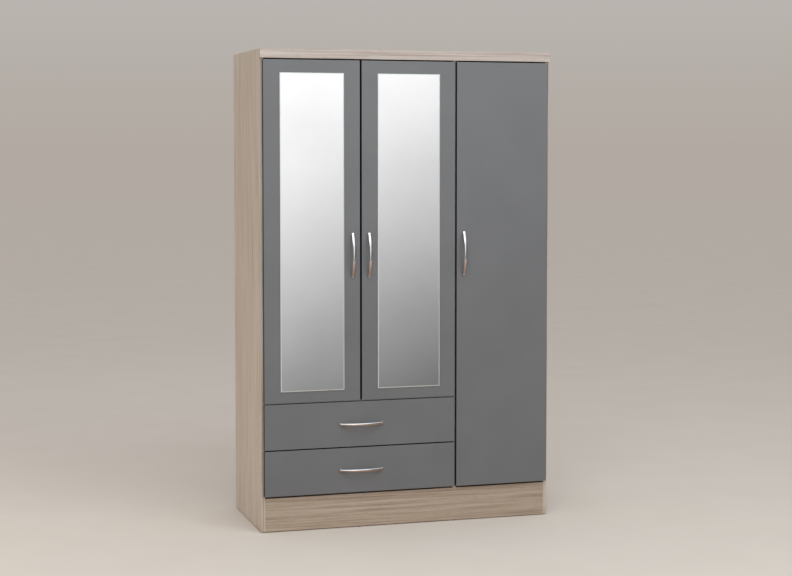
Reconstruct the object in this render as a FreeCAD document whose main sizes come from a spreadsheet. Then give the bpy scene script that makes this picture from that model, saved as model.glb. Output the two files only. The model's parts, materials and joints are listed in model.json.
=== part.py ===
"""Three-door wardrobe with two drawers, made as flat-pack furniture from 15 mm faced board.

The carcass, each door and each drawer are separate assemblies of boards and fittings. Millimetres,
+Z up, doors facing -Y. The origin is on the floor under the middle of the whole object.
"""
import FreeCAD, Part
import os
import re

import Sketcher

# Driving dimensions in millimetres. Every other length is worked out from these.
SIZES = {
    # Overall
    "Width": 1156,
    "Height": 1825,
    "CarcassDepth": 486,
    "BoardThick": 15,
    "DoorThick": 15,
    "DoorStandoff": 1,
    "GlideHeight": 3,
    "GlideDiameter": 14,
    # Carcass
    "BaseTop": 130,
    "FasciaHeight": 35,
    "DividerCentre": 190.5,
    "DeckMiddle": 490.5,
    "ShelfTop": 1510,
    "ShelfSetback": 20,
    "BackThick": 3,
    "BackInset": 2,
    "StripLip": 0.9,
    "StripWidth": 22,
    "StripWeb": 1,
    "StripBite": 0.1,
    "BackSheetGap": 0.4,
    "PlinthSetback": 35,
    # Doors, mirrors and drawer fronts
    "Reveal": 9,
    "DoorGap": 5,
    "FrontFoot": 138.5,
    "DrawerFrontHeight": 173,
    "DrawerGap": 4,
    "MirrorWidth": 248,
    "MirrorHeight": 1200,
    "MirrorLift": 43.5,
    "MirrorThick": 3,
    # Bow handles
    "HandleLength": 170,
    "HandleReach": 27,
    "HandleWidth": 11,
    "HandleThick": 5.5,
    "HandleFoot": 10,
    "HandleEnd": 6,
    "HandleRound": 2,
    "HandleInset": 30,
    "HandleMiddle": 1049,
    "ScrewDiameter": 4,
    "ScrewGrip": 5,
    "ScrewHead": 8,
    "ScrewHeadHeight": 2.4,
    "HoleClear": 0.6,
    "CutPast": 1,
    # Concealed hinges
    "CupDiameter": 35,
    "CupDepth": 11.2,
    "CupWall": 1,
    "CupClear": 0.4,
    "CupInset": 24,
    "EarHeight": 48,
    "EarWidth": 16,
    "EarThick": 1.2,
    "EarShift": 2,
    "HingeEnd": 100,
    "ArmSetback": 3,
    "ArmLength": 58,
    "ArmWidth": 16,
    "ArmHeight": 13,
    "ArmWall": 1.2,
    "PlateThick": 3,
    "PlateHeight": 44,
    "PlateLength": 42,
    "PlateSetback": 21,
    # Drawer boxes
    "DrawerSide": 12,
    "DrawerDepth": 430,
    "DrawerBoxHeight": 120,
    "DrawerLift": 22,
    "DrawerClear": 12.5,
    "BaseThick": 3,
    "BaseLift": 10,
    "GrooveDepth": 6,
    "GrooveClear": 0.4,
    # Roller runners
    "RunnerSheet": 1.2,
    "RunnerFront": 3,
    "CabinetRunnerLength": 430,
    "ChannelBelow": 6,
    "ChannelHeight": 29,
    "ChannelWidth": 9.5,
    "DrawerRunnerLength": 427,
    "FlangeHeight": 20,
    "FlangeWidth": 9.5,
    "FlangeLength": 390,
    "RollerWidth": 7,
    "FrontRoller": 16,
    "RearRoller": 24,
    "RollerPin": 5,
    "RollerGap": 0.3,
    "RollerSideGap": 0.4,
    "RollerInset": 12,
    "RollerEndGap": 3,
    "DrawerRunnerSetback": 2,
    # Fixings and inside fittings
    "CamDiameter": 15,
    "CamHeight": 12,
    "CamInset": 34,
    "CamSlot": 8.4,
    "BoltDiameter": 6,
    "BoltGrip": 11,
    "BoltTrim": 0.5,
    "FixingFront": 70,
    "FixingRear": 60,
    "PinDiameter": 5,
    "PinGrip": 7,
    "PinClear": 0.4,
    "PinEndClear": 0.1,
    "RailWidth": 15,
    "RailHeight": 30,
    "RailWall": 1.2,
    "RailDrop": 55,
    "SocketRim": 4,
    "SocketLength": 10,
    "SocketFloor": 2,
    "BracketReach": 30,
    "BracketWidth": 20,
    "BracketThick": 2,
    "BracketX": 400,
    "BracketHole": 5.5,
    "BracketHoleDrop": 18,
}

# Planes and places that several pieces share, as expressions of the driving dimensions.
FRONT = "((DoorThick + DoorStandoff + HandleReach - CarcassDepth) / 2)"
DOOR_BACK = f"({FRONT} - DoorStandoff)"
DOOR_FACE = f"({DOOR_BACK} - DoorThick)"
BACK = f"({FRONT} + CarcassDepth)"
BOARD_REAR = f"({BACK} - BackThick - StripLip)"
INNER_LEFT = "(BoardThick - Width / 2)"
INNER_RIGHT = "(Width / 2 - BoardThick)"
DIVIDER_LEFT = "(DividerCentre - BoardThick / 2)"
DIVIDER_RIGHT = "(DividerCentre + BoardThick / 2)"
UNDER_TOP = "(Height - BoardThick)"
UNDER_BASE = "(BaseTop - BoardThick)"
DECK_FOOT = "(DeckMiddle - BoardThick / 2)"
SHELF_FOOT = "(ShelfTop - BoardThick)"
DOOR_WIDTH = "((Width - 2 * Reveal - 2 * DoorGap) / 3)"
DOOR_TOP = "(Height - FasciaHeight - DoorGap)"
UPPER_FOOT = "(FrontFoot + DrawerFrontHeight + DrawerGap)"
MIRROR_DOOR_FOOT = f"({UPPER_FOOT} + DrawerFrontHeight + DrawerGap)"
FIXING_ROWS = (f"({FRONT} + FixingFront)", f"({BOARD_REAR} - FixingRear)")
HOLE = "(ScrewDiameter + HoleClear)"
BORE = "(BoltDiameter + HoleClear)"

# Rough sizes that a sketch's circles start from, before its constraints are bound, and the least volume in
# cubic millimetres that counts as a cut.
START_RADIUS = 2
START_STEP = 10
LEAST_CUT = 1

doc = FreeCAD.newDocument("wardrobe")
sheet = doc.addObject("Spreadsheet::Sheet", "Sizes")
for row, (alias, number) in enumerate(SIZES.items(), start=1):
    sheet.set(f"A{row}", str(number))
    sheet.setAlias(f"A{row}", alias)
doc.recompute()

NODES = []
CORNERS = {}


def cells(expression):
    """The expression with each size word pointed at its cell in the sheet."""
    return re.sub(r"\b[A-Z][A-Za-z]+", lambda word: "Sizes." + word.group(), str(expression))


def bind(item, values):
    """Bind properties of a document object to expressions of the sheet."""
    for name, expression in values.items():
        item.setExpression(name, cells(expression))


def stand(item, place, turn=None):
    """Bind where a piece stands, and turn it where it isn't square to the frame."""
    if turn is not None:
        item.Placement = FreeCAD.Placement(FreeCAD.Vector(), turn)
    bind(item, {f"Placement.Base.{axis}": value for axis, value in zip("xyz", place)})


def keep(item, label):
    """Take a finished piece into the list that is written out, under its own name."""
    item.Label = label
    NODES.append(item)
    return item


# Ways of making a piece from sketches -------------------------------------------------------------

def new_body(name, corner, turn=None):
    body = doc.addObject("PartDesign::Body", name)
    stand(body, corner, turn)
    CORNERS[body.Name] = corner
    return body


def new_sketch(body, plane, lift="0"):
    """A sketch on one of the body's own origin planes, lifted along that plane's normal."""
    sketch = body.newObject("Sketcher::SketchObject", body.Name + "_sketch")
    support = next(item for item in body.Origin.OriginFeatures if item.Role == plane)
    sketch.AttachmentSupport = (support, [""])
    sketch.MapMode = "FlatFace"
    bind(sketch, {"AttachmentOffset.Base.z": lift})
    return sketch


def pin_point(sketch, geometry, point, place):
    """Hold one point of a sketch at a place given by two expressions."""
    spot = sketch.getPoint(geometry, point)
    for kind, start, expression in zip(("DistanceX", "DistanceY"), (spot.x, spot.y), place):
        index = sketch.addConstraint(Sketcher.Constraint(kind, -1, 1, geometry, point, start))
        bind(sketch, {f"Constraints[{index}]": expression})


def outline(sketch, points):
    """A closed outline of straight lines through the points."""
    start = [FreeCAD.Vector(1 + index, 1 + index % 2, 0) for index in range(len(points))]
    for index in range(len(points)):
        sketch.addGeometry(Part.LineSegment(start[index], start[(index + 1) % len(points)]), False)
    for index in range(len(points)):
        following = (index + 1) % len(points)
        sketch.addConstraint(Sketcher.Constraint("Coincident", index, 2, following, 1))
        pin_point(sketch, index, 1, points[index])


def pad(body, plane, points, length, lift="0", backwards=False):
    """Extrude an outline from one of the body's planes."""
    sketch = new_sketch(body, plane, lift)
    outline(sketch, points)
    feature = body.newObject("PartDesign::Pad", body.Name + "_pad")
    feature.Profile = sketch
    feature.Reversed = backwards
    bind(feature, {"Length": length})
    doc.recompute()
    return feature


def start_circle(sketch, index, diameter):
    """Add a rough circle, the index-th piece of a sketch's geometry, and bind its diameter."""
    spot = FreeCAD.Vector(START_STEP * (index + 1), START_STEP, 0)
    sketch.addGeometry(Part.Circle(spot, FreeCAD.Vector(0, 0, 1), START_RADIUS), False)
    number = sketch.addConstraint(Sketcher.Constraint("Diameter", index, 2.0 * START_RADIUS))
    bind(sketch, {f"Constraints[{number}]": diameter})


def cut(body, sketch, depth, backwards):
    """Pocket a sketch into the body, and make sure that it took material away."""
    before = body.Shape.Volume
    feature = body.newObject("PartDesign::Pocket", body.Name + "_pocket")
    feature.Profile = sketch
    feature.Reversed = backwards
    bind(feature, {"Length": depth})
    doc.recompute()
    if body.Shape.Volume > before - LEAST_CUT:
        raise RuntimeError(f"{body.Name}: a pocket cut nothing")
    return feature


def rectangle(width, depth, start=("0", "0")):
    """The corners of a rectangle, from its low corner and its two sides."""
    across, along = start
    return [start, (f"{across} + {width}", along),
            (f"{across} + {width}", f"{along} + {depth}"), (across, f"{along} + {depth}")]


def board(label, low, high):
    """One square-cut board or sheet between two opposite corners."""
    width, depth, height = (f"({top}) - ({bottom})" for bottom, top in zip(low, high))
    body = new_body(label, low)
    pad(body, "XY_Plane", rectangle(width, depth), height)
    return keep(body, label)


# For each face of a board: its sketch plane, the two axes of that plane, and the pocket's direction.
FACES = {
    "+X": ("YZ_Plane", (1, 2), False), "-X": ("YZ_Plane", (1, 2), True),
    "-Y": ("XZ_Plane", (0, 2), False), "+Y": ("XZ_Plane", (0, 2), True),
    "+Z": ("XY_Plane", (0, 1), False), "-Z": ("XY_Plane", (0, 1), True),
}


def face_lift(face, thickness):
    """How far a face's sketch is lifted from the plane through the body's corner."""
    if face == "+Y":
        return f"-({thickness})"
    return thickness if face in ("+X", "+Z") else "0"


def drill(body, face, centres, diameter, depth, thickness="0"):
    """Round holes into one face of a board, at places given in the whole object's frame."""
    plane, axes, backwards = FACES[face]
    corner = CORNERS[body.Name]
    sketch = new_sketch(body, plane, face_lift(face, thickness))
    for index, centre in enumerate(centres):
        start_circle(sketch, index, diameter)
        local = [f"({value}) - ({corner[axis]})" for value, axis in zip(centre, axes)]
        pin_point(sketch, index, 3, local)
    cut(body, sketch, depth, backwards)


# Ways of making a fitting from primitives ---------------------------------------------------------

ALONG = {
    "X": FreeCAD.Rotation(FreeCAD.Vector(0, 1, 0), 90),
    "Y": FreeCAD.Rotation(FreeCAD.Vector(1, 0, 0), -90),
    "Z": FreeCAD.Rotation(),
}


def rod(name, axis, start, diameter, length):
    """A round bar along X, Y or Z from its start point."""
    item = doc.addObject("Part::Cylinder", name)
    stand(item, start, ALONG[axis])
    bind(item, {"Radius": f"({diameter}) / 2", "Height": length})
    return item


def block(name, corner, size):
    """A square block from its low corner."""
    item = doc.addObject("Part::Box", name)
    stand(item, corner)
    bind(item, dict(zip(("Length", "Width", "Height"), size)))
    return item


def join(name, pieces):
    item = doc.addObject("Part::MultiFuse", name)
    item.Shapes = pieces
    item.Refine = True
    return item


def subtract(name, base, tool):
    item = doc.addObject("Part::Cut", name)
    item.Base = base
    item.Tool = tool
    return item


def group(label, pieces):
    """Identical fittings kept together as one node of separate solids."""
    item = doc.addObject("Part::Compound", label)
    item.Links = pieces
    return keep(item, label)


def oval(name, start, width, height, length):
    """A bar of upright oval section along X, from the middle of its end."""
    across, middle, up = start
    reach = f"(({height}) - ({width})) / 2"
    core = block(name + "_core", (across, f"{middle} - ({width}) / 2", f"{up} - {reach}"),
                 (length, width, f"2 * {reach}"))
    ends = [rod(name + "_round", "X", (across, middle, f"{up} {sign} {reach}"), width, length)
            for sign in "+-"]
    return join(name, [core] + ends)


# Carcass ------------------------------------------------------------------------------------------

left_side = board("left_side_panel", ("-Width / 2", FRONT, "GlideHeight"),
                  (INNER_LEFT, BOARD_REAR, "Height"))
right_side = board("right_side_panel", (INNER_RIGHT, FRONT, "GlideHeight"),
                   ("Width / 2", BOARD_REAR, "Height"))
divider = board("centre_divider", (DIVIDER_LEFT, FRONT, "BaseTop"),
                (DIVIDER_RIGHT, BOARD_REAR, UNDER_TOP))
top_panel = board("top_panel", (INNER_LEFT, FRONT, UNDER_TOP), (INNER_RIGHT, BOARD_REAR, "Height"))
bottom_panel = board("bottom_panel", (INNER_LEFT, f"{FRONT} + BoardThick", UNDER_BASE),
                     (INNER_RIGHT, BOARD_REAR, "BaseTop"))
deck = board("drawer_deck", (INNER_LEFT, FRONT, DECK_FOOT),
             (DIVIDER_LEFT, BOARD_REAR, f"{DECK_FOOT} + BoardThick"))
board("top_fascia", ("-Width / 2", f"{FRONT} - BoardThick", "Height - FasciaHeight"),
      ("Width / 2", FRONT, "Height"))
board("plinth", (INNER_LEFT, FRONT, "GlideHeight"), (INNER_RIGHT, f"{FRONT} + BoardThick", "BaseTop"))
RAIL_BACK = f"({BOARD_REAR} - PlinthSetback)"
board("rear_plinth_rail", (INNER_LEFT, f"{RAIL_BACK} - BoardThick", "GlideHeight"),
      (INNER_RIGHT, RAIL_BACK, UNDER_BASE))
board("plinth_brace", ("-BoardThick / 2", f"{FRONT} + BoardThick", "GlideHeight"),
      ("BoardThick / 2", f"{RAIL_BACK} - BoardThick", UNDER_BASE))

SHELF_FRONT = f"({FRONT} + ShelfSetback)"
for side, start, end in (("left", INNER_LEFT, DIVIDER_LEFT), ("right", DIVIDER_RIGHT, INNER_RIGHT)):
    board(side + "_hat_shelf", (start, SHELF_FRONT, SHELF_FOOT), (end, BOARD_REAR, "ShelfTop"))

# Thin back in three sheets: two meet on the divider's edge, two in a plastic joint strip.
BACK_FOOT = UNDER_BASE
BACK_TOP = "(Height - BackInset)"
BACK_LEFT = "(BackInset - Width / 2)"
STRIP_X = f"(-({DOOR_WIDTH} + DoorGap) / 2)"
SHEET_REAR = f"({BOARD_REAR} + BackThick)"
back_left = board("back_panel_left", (BACK_LEFT, BOARD_REAR, BACK_FOOT),
                  (f"{STRIP_X} - StripWeb", SHEET_REAR, BACK_TOP))
board("back_panel_middle", (f"({STRIP_X} + StripWeb)", BOARD_REAR, BACK_FOOT),
      ("DividerCentre - BackSheetGap / 2", SHEET_REAR, BACK_TOP))
back_right = board("back_panel_right", ("DividerCentre + BackSheetGap / 2", BOARD_REAR, BACK_FOOT),
                   ("Width / 2 - BackInset", SHEET_REAR, BACK_TOP))

strip = new_body("back_joint_strip", (STRIP_X, BOARD_REAR, BACK_FOOT))
pad(strip, "XY_Plane", rectangle("StripWidth", "StripLip", ("-StripWidth / 2", "BackThick")),
    f"{BACK_TOP} - {BACK_FOOT}")
pad(strip, "XY_Plane", rectangle("StripWeb", "BackThick + StripBite", ("-StripWeb / 2", "0")),
    f"{BACK_TOP} - {BACK_FOOT}")
keep(strip, "back_joint_strip")

# Cam-and-bolt joints: a cam in the underside of each board, a bolt screwed into the panel beside it.
cams = []
bolts = []


def cam_joints(shelf, foot, left_end, right_end, left_wall, right_wall):
    """Fix both ends of a board to the panels beside it, with two cams at each end."""
    middle = f"({foot} + BoardThick / 2)"
    for end, wall, sign, near, far in ((left_end, left_wall, "+", "-X", "+X"),
                                       (right_end, right_wall, "-", "+X", "-X")):
        cam_x = f"({end} {sign} CamInset)"
        spots = [(cam_x, y) for y in FIXING_ROWS]
        drill(shelf, "-Z", spots, "CamDiameter + HoleClear", "CamHeight + HoleClear")
        length = f"{right_end} - {left_end}"
        drill(shelf, near, [(y, middle) for y in FIXING_ROWS], BORE, "CamInset", length)
        drill(wall, far, [(y, middle) for y in FIXING_ROWS], BORE, "BoltGrip + HoleClear",
              "BoardThick")
        for y in FIXING_ROWS:
            cam = rod("cam", "Z", (cam_x, y, foot), "CamDiameter", "CamHeight")
            slot_x = f"{cam_x} - CamDiameter" if sign == "+" else cam_x
            slot = block("cam_slot", (slot_x, f"{y} - CamSlot / 2", f"{middle} - CamSlot / 2"),
                         ("CamDiameter", "CamSlot", "CamSlot"))
            cams.append(subtract("cam_lock", cam, slot))
            start = f"{end} - BoltGrip" if sign == "+" else cam_x
            trim = "BoltTrim" if sign == "-" else "0"
            bolts.append(rod("cam_bolt", "X", (f"{start} + {trim}", y, middle), "BoltDiameter",
                             "BoltGrip + CamInset - BoltTrim"))


cam_joints(top_panel, UNDER_TOP, INNER_LEFT, INNER_RIGHT, left_side, right_side)
cam_joints(bottom_panel, UNDER_BASE, INNER_LEFT, INNER_RIGHT, left_side, right_side)
cam_joints(deck, DECK_FOOT, INNER_LEFT, DIVIDER_LEFT, left_side, divider)
group("cam_locks", cams)
group("cam_bolts", bolts)

# Pins under the hat shelves, two in each panel beside a shelf.
pins = []
PIN_Z = f"({SHELF_FOOT} - PinDiameter / 2)"
for wall, face, place in ((left_side, "+X", INNER_LEFT), (divider, "-X", DIVIDER_LEFT),
                          (divider, "+X", DIVIDER_RIGHT), (right_side, "-X", INNER_RIGHT)):
    drill(wall, face, [(y, PIN_Z) for y in FIXING_ROWS], "PinDiameter + PinClear",
          "PinGrip + PinEndClear", "BoardThick")
    for y in FIXING_ROWS:
        pins.append(rod("shelf_pin", "X", (f"{place} - PinGrip", y, PIN_Z), "PinDiameter",
                        "2 * PinGrip"))
group("shelf_pins", pins)

# Hanging rails of oval tube, each held in two cups.
RAIL_Y = f"(({FRONT} + {BOARD_REAR}) / 2)"
RAIL_Z = f"({SHELF_FOOT} - RailDrop)"
cups = []
for side, start, end in (("left", INNER_LEFT, DIVIDER_LEFT), ("right", DIVIDER_RIGHT, INNER_RIGHT)):
    begin = f"({start} + SocketFloor)"
    length = f"({end} - {start} - 2 * SocketFloor)"
    outer = oval(side + "_rail_outer", (begin, RAIL_Y, RAIL_Z), "RailWidth", "RailHeight", length)
    inner = oval(side + "_rail_inner", (begin, RAIL_Y, RAIL_Z), "RailWidth - 2 * RailWall",
                 "RailHeight - 2 * RailWall", length)
    keep(subtract(side + "_rail_tube", outer, inner), side + "_hanging_rail")
    for place, seat in ((start, f"({start} + SocketFloor)"),
                        (f"({end} - SocketLength)", f"({end} - SocketLength - SocketFloor)")):
        shell = oval("socket_shell", (place, RAIL_Y, RAIL_Z), "RailWidth + 2 * SocketRim",
                     "RailHeight + 2 * SocketRim", "SocketLength")
        hollow = oval("socket_hollow", (seat, RAIL_Y, RAIL_Z), "RailWidth + HoleClear",
                      "RailHeight + HoleClear", "SocketLength")
        cups.append(subtract("socket", shell, hollow))
group("rail_sockets", cups)

# Brackets that tie the top of the back to a wall, with one wall screw each.
brackets = []
for sign, panel in (("-", back_left), ("+", back_right)):
    low_x = f"({sign}BracketX - BracketWidth / 2)"
    flat = block("bracket_flat", (low_x, f"{BOARD_REAR} - BracketReach", f"{UNDER_TOP} - BracketThick"),
                 ("BracketWidth", "BracketReach", "BracketThick"))
    leg = block("bracket_leg", (low_x, f"{BOARD_REAR} - BracketThick", f"{UNDER_TOP} - BracketReach"),
                ("BracketWidth", "BracketThick", "BracketReach"))
    hole_z = f"({UNDER_TOP} - BracketHoleDrop)"
    hole = rod("bracket_hole", "Y", (f"{sign}BracketX", f"{BOARD_REAR} - 2 * BracketThick", hole_z),
               "BracketHole", "3 * BracketThick")
    brackets.append(subtract("wall_bracket", join("bracket_angle", [flat, leg]), hole))
    drill(panel, "-Y", [(f"{sign}BracketX", hole_z)], "BracketHole", "BackThick + CutPast")
group("wall_brackets", brackets)

# Nail-on glides under the side panels, the plinth and the rear rail.
glides = []
side_x = "((Width - BoardThick) / 2)"
inner_x = "(Width / 6)"
plinth_y = f"({FRONT} + BoardThick / 2)"
rear_y = f"({RAIL_BACK} - BoardThick / 2)"
for sign in "-+":
    for x, y in ((side_x, FIXING_ROWS[0]), (side_x, FIXING_ROWS[1]),
                 (inner_x, plinth_y), (inner_x, rear_y)):
        glides.append(rod("glide", "Z", (f"{sign}{x}", y, "0"), "GlideDiameter", "GlideHeight"))
group("floor_glides", glides)


# Handles and their screws ---------------------------------------------------------------------------

HOLE_INSET = "(HandleFoot / 2)"


def bow(low, high, rise):
    """The radius of an arc that rises by rise over a chord from low to high."""
    chord = f"(({high}) - ({low}))"
    return f"(({chord} * {chord} / 4 + ({rise}) * ({rise})) / (2 * ({rise})))"


def handle(label, middle_x, middle_z, upright):
    """A bow handle: a shallow arc between two blunt feet, with a blind screw hole in each foot."""
    place = (middle_x, DOOR_FACE, f"{middle_z} - HandleLength / 2")
    turn = FreeCAD.Rotation(FreeCAD.Vector(0, 0, 1), 180)
    if not upright:
        place = (f"{middle_x} - HandleLength / 2", DOOR_FACE, middle_z)
        turn = FreeCAD.Rotation(FreeCAD.Vector(1, 0, 1), 180)
    body = new_body(label, place, turn)
    CORNERS[body.Name] = ("0", "0", "0")
    sketch = new_sketch(body, "YZ_Plane")

    high, foot, end = (SIZES[name] for name in ("HandleLength", "HandleFoot", "HandleEnd"))
    spots = [FreeCAD.Vector(across, along, 0) for across, along in
             ((0, high), (0, high - foot), (0, foot), (0, 0), (end, 0), (end, high))]
    inside = FreeCAD.Vector(SIZES["HandleReach"] - SIZES["HandleThick"], high / 2, 0)
    outside = FreeCAD.Vector(SIZES["HandleReach"], high / 2, 0)
    sketch.addGeometry([
        Part.LineSegment(spots[0], spots[1]), Part.LineSegment(spots[2], spots[3]),
        Part.LineSegment(spots[3], spots[4]), Part.LineSegment(spots[5], spots[0]),
        Part.Arc(spots[2], inside, spots[1]), Part.Arc(spots[4], outside, spots[5])], False)
    for first, first_end, second, second_end in ((0, 2, 4, 2), (1, 1, 4, 1), (1, 2, 2, 1),
                                                 (2, 2, 5, 1), (5, 2, 3, 1), (3, 2, 0, 1)):
        sketch.addConstraint(Sketcher.Constraint("Coincident", first, first_end, second, second_end))
    for line, point, spot in ((0, 1, ("0", "HandleLength")), (0, 2, ("0", "HandleLength - HandleFoot")),
                              (1, 1, ("0", "HandleFoot")), (1, 2, ("0", "0")),
                              (2, 2, ("HandleEnd", "0")), (3, 1, ("HandleEnd", "HandleLength"))):
        pin_point(sketch, line, point, spot)
    radii = {4: bow("HandleFoot", "HandleLength - HandleFoot", "HandleReach - HandleThick"),
             5: bow("0", "HandleLength", "HandleReach - HandleEnd")}
    for arc, radius in radii.items():
        start = sketch.Geometry[arc].Radius
        index = sketch.addConstraint(Sketcher.Constraint("Radius", arc, start))
        bind(sketch, {f"Constraints[{index}]": radius})

    bar = body.newObject("PartDesign::Pad", label + "_pad")
    bar.Profile = sketch
    bar.SideType = "Symmetric"
    bind(bar, {"Length": "HandleWidth"})
    doc.recompute()
    arcs = [f"Edge{number}" for number, edge in enumerate(bar.Shape.Edges, start=1)
            if isinstance(edge.Curve, Part.Circle)]
    rounding = body.newObject("PartDesign::Fillet", label + "_round")
    rounding.Base = (bar, arcs)
    bind(rounding, {"Radius": "HandleRound"})
    doc.recompute()
    drill(body, "-Y", [("0", HOLE_INSET), ("0", f"HandleLength - {HOLE_INSET}")], HOLE,
          "ScrewGrip + CutPast")
    return keep(body, label)


def screw_spots(middle_x, middle_z, upright):
    """Where a handle's two screws cross the door, as (x, z)."""
    reach = f"(HandleLength / 2 - {HOLE_INSET})"
    if upright:
        return [(middle_x, f"({middle_z} {sign} {reach})") for sign in "-+"]
    return [(f"({middle_x} {sign} {reach})", middle_z) for sign in "-+"]


def fit_handle(name, panel, middle_x, middle_z, upright):
    """Drill a door or drawer front for a handle, and add the handle and its two screws."""
    spots = screw_spots(middle_x, middle_z, upright)
    drill(panel, "-Y", spots, HOLE, "DoorThick + CutPast")
    handle(name + "_handle", middle_x, middle_z, upright)
    screws = []
    for x, z in spots:
        shank = rod("screw_shank", "Y", (x, f"{DOOR_FACE} - ScrewGrip", z), "ScrewDiameter",
                    "DoorThick + ScrewGrip + ScrewHeadHeight / 2")
        head = rod("screw_head", "Y", (x, DOOR_BACK, z), "ScrewHead", "ScrewHeadHeight")
        screws.append(join("handle_screw", [shank, head]))
    group(name + "_handle_screws", screws)


# Doors --------------------------------------------------------------------------------------------

arms = []
plates = []


def hinge_arm(wall, sign, z):
    """The half of a concealed hinge that stays on the carcass: a plate with a channel arm on it."""
    def across(start, width):
        return f"({wall} + {start})" if sign == "+" else f"({wall} - ({start}) - ({width}))"

    plates.append(block("hinge_plate", (across("0", "PlateThick"), f"{FRONT} + PlateSetback",
                                        f"{z} - PlateHeight / 2"),
                        ("PlateThick", "PlateLength", "PlateHeight")))
    outer = block("arm_outer", (across("PlateThick", "ArmHeight"), f"{FRONT} + ArmSetback",
                                f"{z} - ArmWidth / 2"), ("ArmHeight", "ArmLength", "ArmWidth"))
    inner = block("arm_inner", (across("PlateThick", "ArmHeight - ArmWall"),
                                f"{FRONT} + ArmSetback - CutPast", f"{z} - ArmWidth / 2 + ArmWall"),
                  ("ArmHeight - ArmWall", "ArmLength + 2 * CutPast", "ArmWidth - 2 * ArmWall"))
    arms.append(subtract("hinge_arm", outer, inner))


def hinge_cup(x, sign, z):
    """The half of a concealed hinge that moves with the door: a cup let into it, with a flange."""
    floor = f"({DOOR_BACK} - CupDepth)"
    shell = rod("cup_shell", "Y", (x, floor, z), "CupDiameter", "CupDepth")
    ear_x = f"({x} {sign} EarShift - EarWidth / 2)"
    ear = block("cup_ear", (ear_x, DOOR_BACK, f"{z} - EarHeight / 2"),
                ("EarWidth", "EarThick", "EarHeight"))
    hollow = rod("cup_hollow", "Y", (x, f"{floor} + CupWall", z), "CupDiameter - 2 * CupWall",
                 "CupDepth + CupWall")
    return subtract("hinge_cup", join("cup_blank", [shell, ear]), hollow)


def door(name, place, foot, hinge_side, hinge_wall, hinge_count, mirrored):
    """A door panel with its hinge cups, handle and, on two of the doors, a mirror."""
    left = f"(Reveal - Width / 2 + {place} * ({DOOR_WIDTH} + DoorGap))"
    right = f"({left} + {DOOR_WIDTH})"
    panel = board(name + "_door_panel", (left, DOOR_FACE, foot), (right, DOOR_BACK, DOOR_TOP))
    if hinge_side == "left":
        sign, cup_x, handle_x = "+", f"({left} + CupInset)", f"({right} - HandleInset)"
    else:
        sign, cup_x, handle_x = "-", f"({right} - CupInset)", f"({left} + HandleInset)"
    span = f"(({DOOR_TOP}) - ({foot}) - 2 * HingeEnd)"
    heights = [f"({foot} + HingeEnd + {span} * {step} / {hinge_count - 1})"
               for step in range(hinge_count)]
    drill(panel, "+Y", [(cup_x, z) for z in heights], "CupDiameter + CupClear",
          "CupDepth + CupClear / 2", "DoorThick")
    group(name + "_door_hinge_cups", [hinge_cup(cup_x, sign, z) for z in heights])
    for z in heights:
        hinge_arm(hinge_wall, sign, z)
    fit_handle(name + "_door", panel, handle_x, "HandleMiddle", True)
    if mirrored:
        glass_left = f"({left} + ({DOOR_WIDTH} - MirrorWidth) / 2)"
        glass_foot = f"({foot} + MirrorLift)"
        board(name + "_door_mirror", (glass_left, f"{DOOR_FACE} - MirrorThick", glass_foot),
              (f"{glass_left} + MirrorWidth", DOOR_FACE, f"{glass_foot} + MirrorHeight"))


door("left", 0, MIRROR_DOOR_FOOT, "left", INNER_LEFT, 3, True)
door("middle", 1, MIRROR_DOOR_FOOT, "right", DIVIDER_LEFT, 3, True)
door("right", 2, "FrontFoot", "right", INNER_RIGHT, 4, False)
group("hinge_arms", arms)
group("hinge_plates", plates)


# Drawers and their roller runners -----------------------------------------------------------------

def groove(body, face, start, size, depth, thickness):
    """A straight groove in one face of a board, from its low corner in the object's frame."""
    plane, axes, backwards = FACES[face]
    corner = CORNERS[body.Name]
    local = tuple(f"(({value}) - ({corner[axis]}))" for value, axis in zip(start, axes))
    sketch = new_sketch(body, plane, face_lift(face, thickness))
    outline(sketch, rectangle(*size, start=local))
    cut(body, sketch, depth, backwards)


def roller_pin(body, sign, sheet_side, y, z, length):
    """The rivet that a roller turns on, standing out of a runner's upright sheet."""
    sketch = new_sketch(body, "YZ_Plane", sheet_side)
    start_circle(sketch, 0, "RollerPin")
    pin_point(sketch, 0, 3, (y, z))
    feature = body.newObject("PartDesign::Pad", body.Name + "_pin")
    feature.Profile = sketch
    feature.Reversed = sign == "-"
    bind(feature, {"Length": length})
    doc.recompute()


def roller(x, y, z, diameter):
    wheel = rod("wheel", "X", (x, y, z), diameter, "RollerWidth")
    bore = rod("wheel_bore", "X", (f"{x} - CutPast", y, z), "RollerPin + HoleClear",
               "RollerWidth + 2 * CutPast")
    return subtract("roller", wheel, bore)


cabinet_runners = []
cabinet_rollers = []
SHEET = "RunnerSheet"


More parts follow.
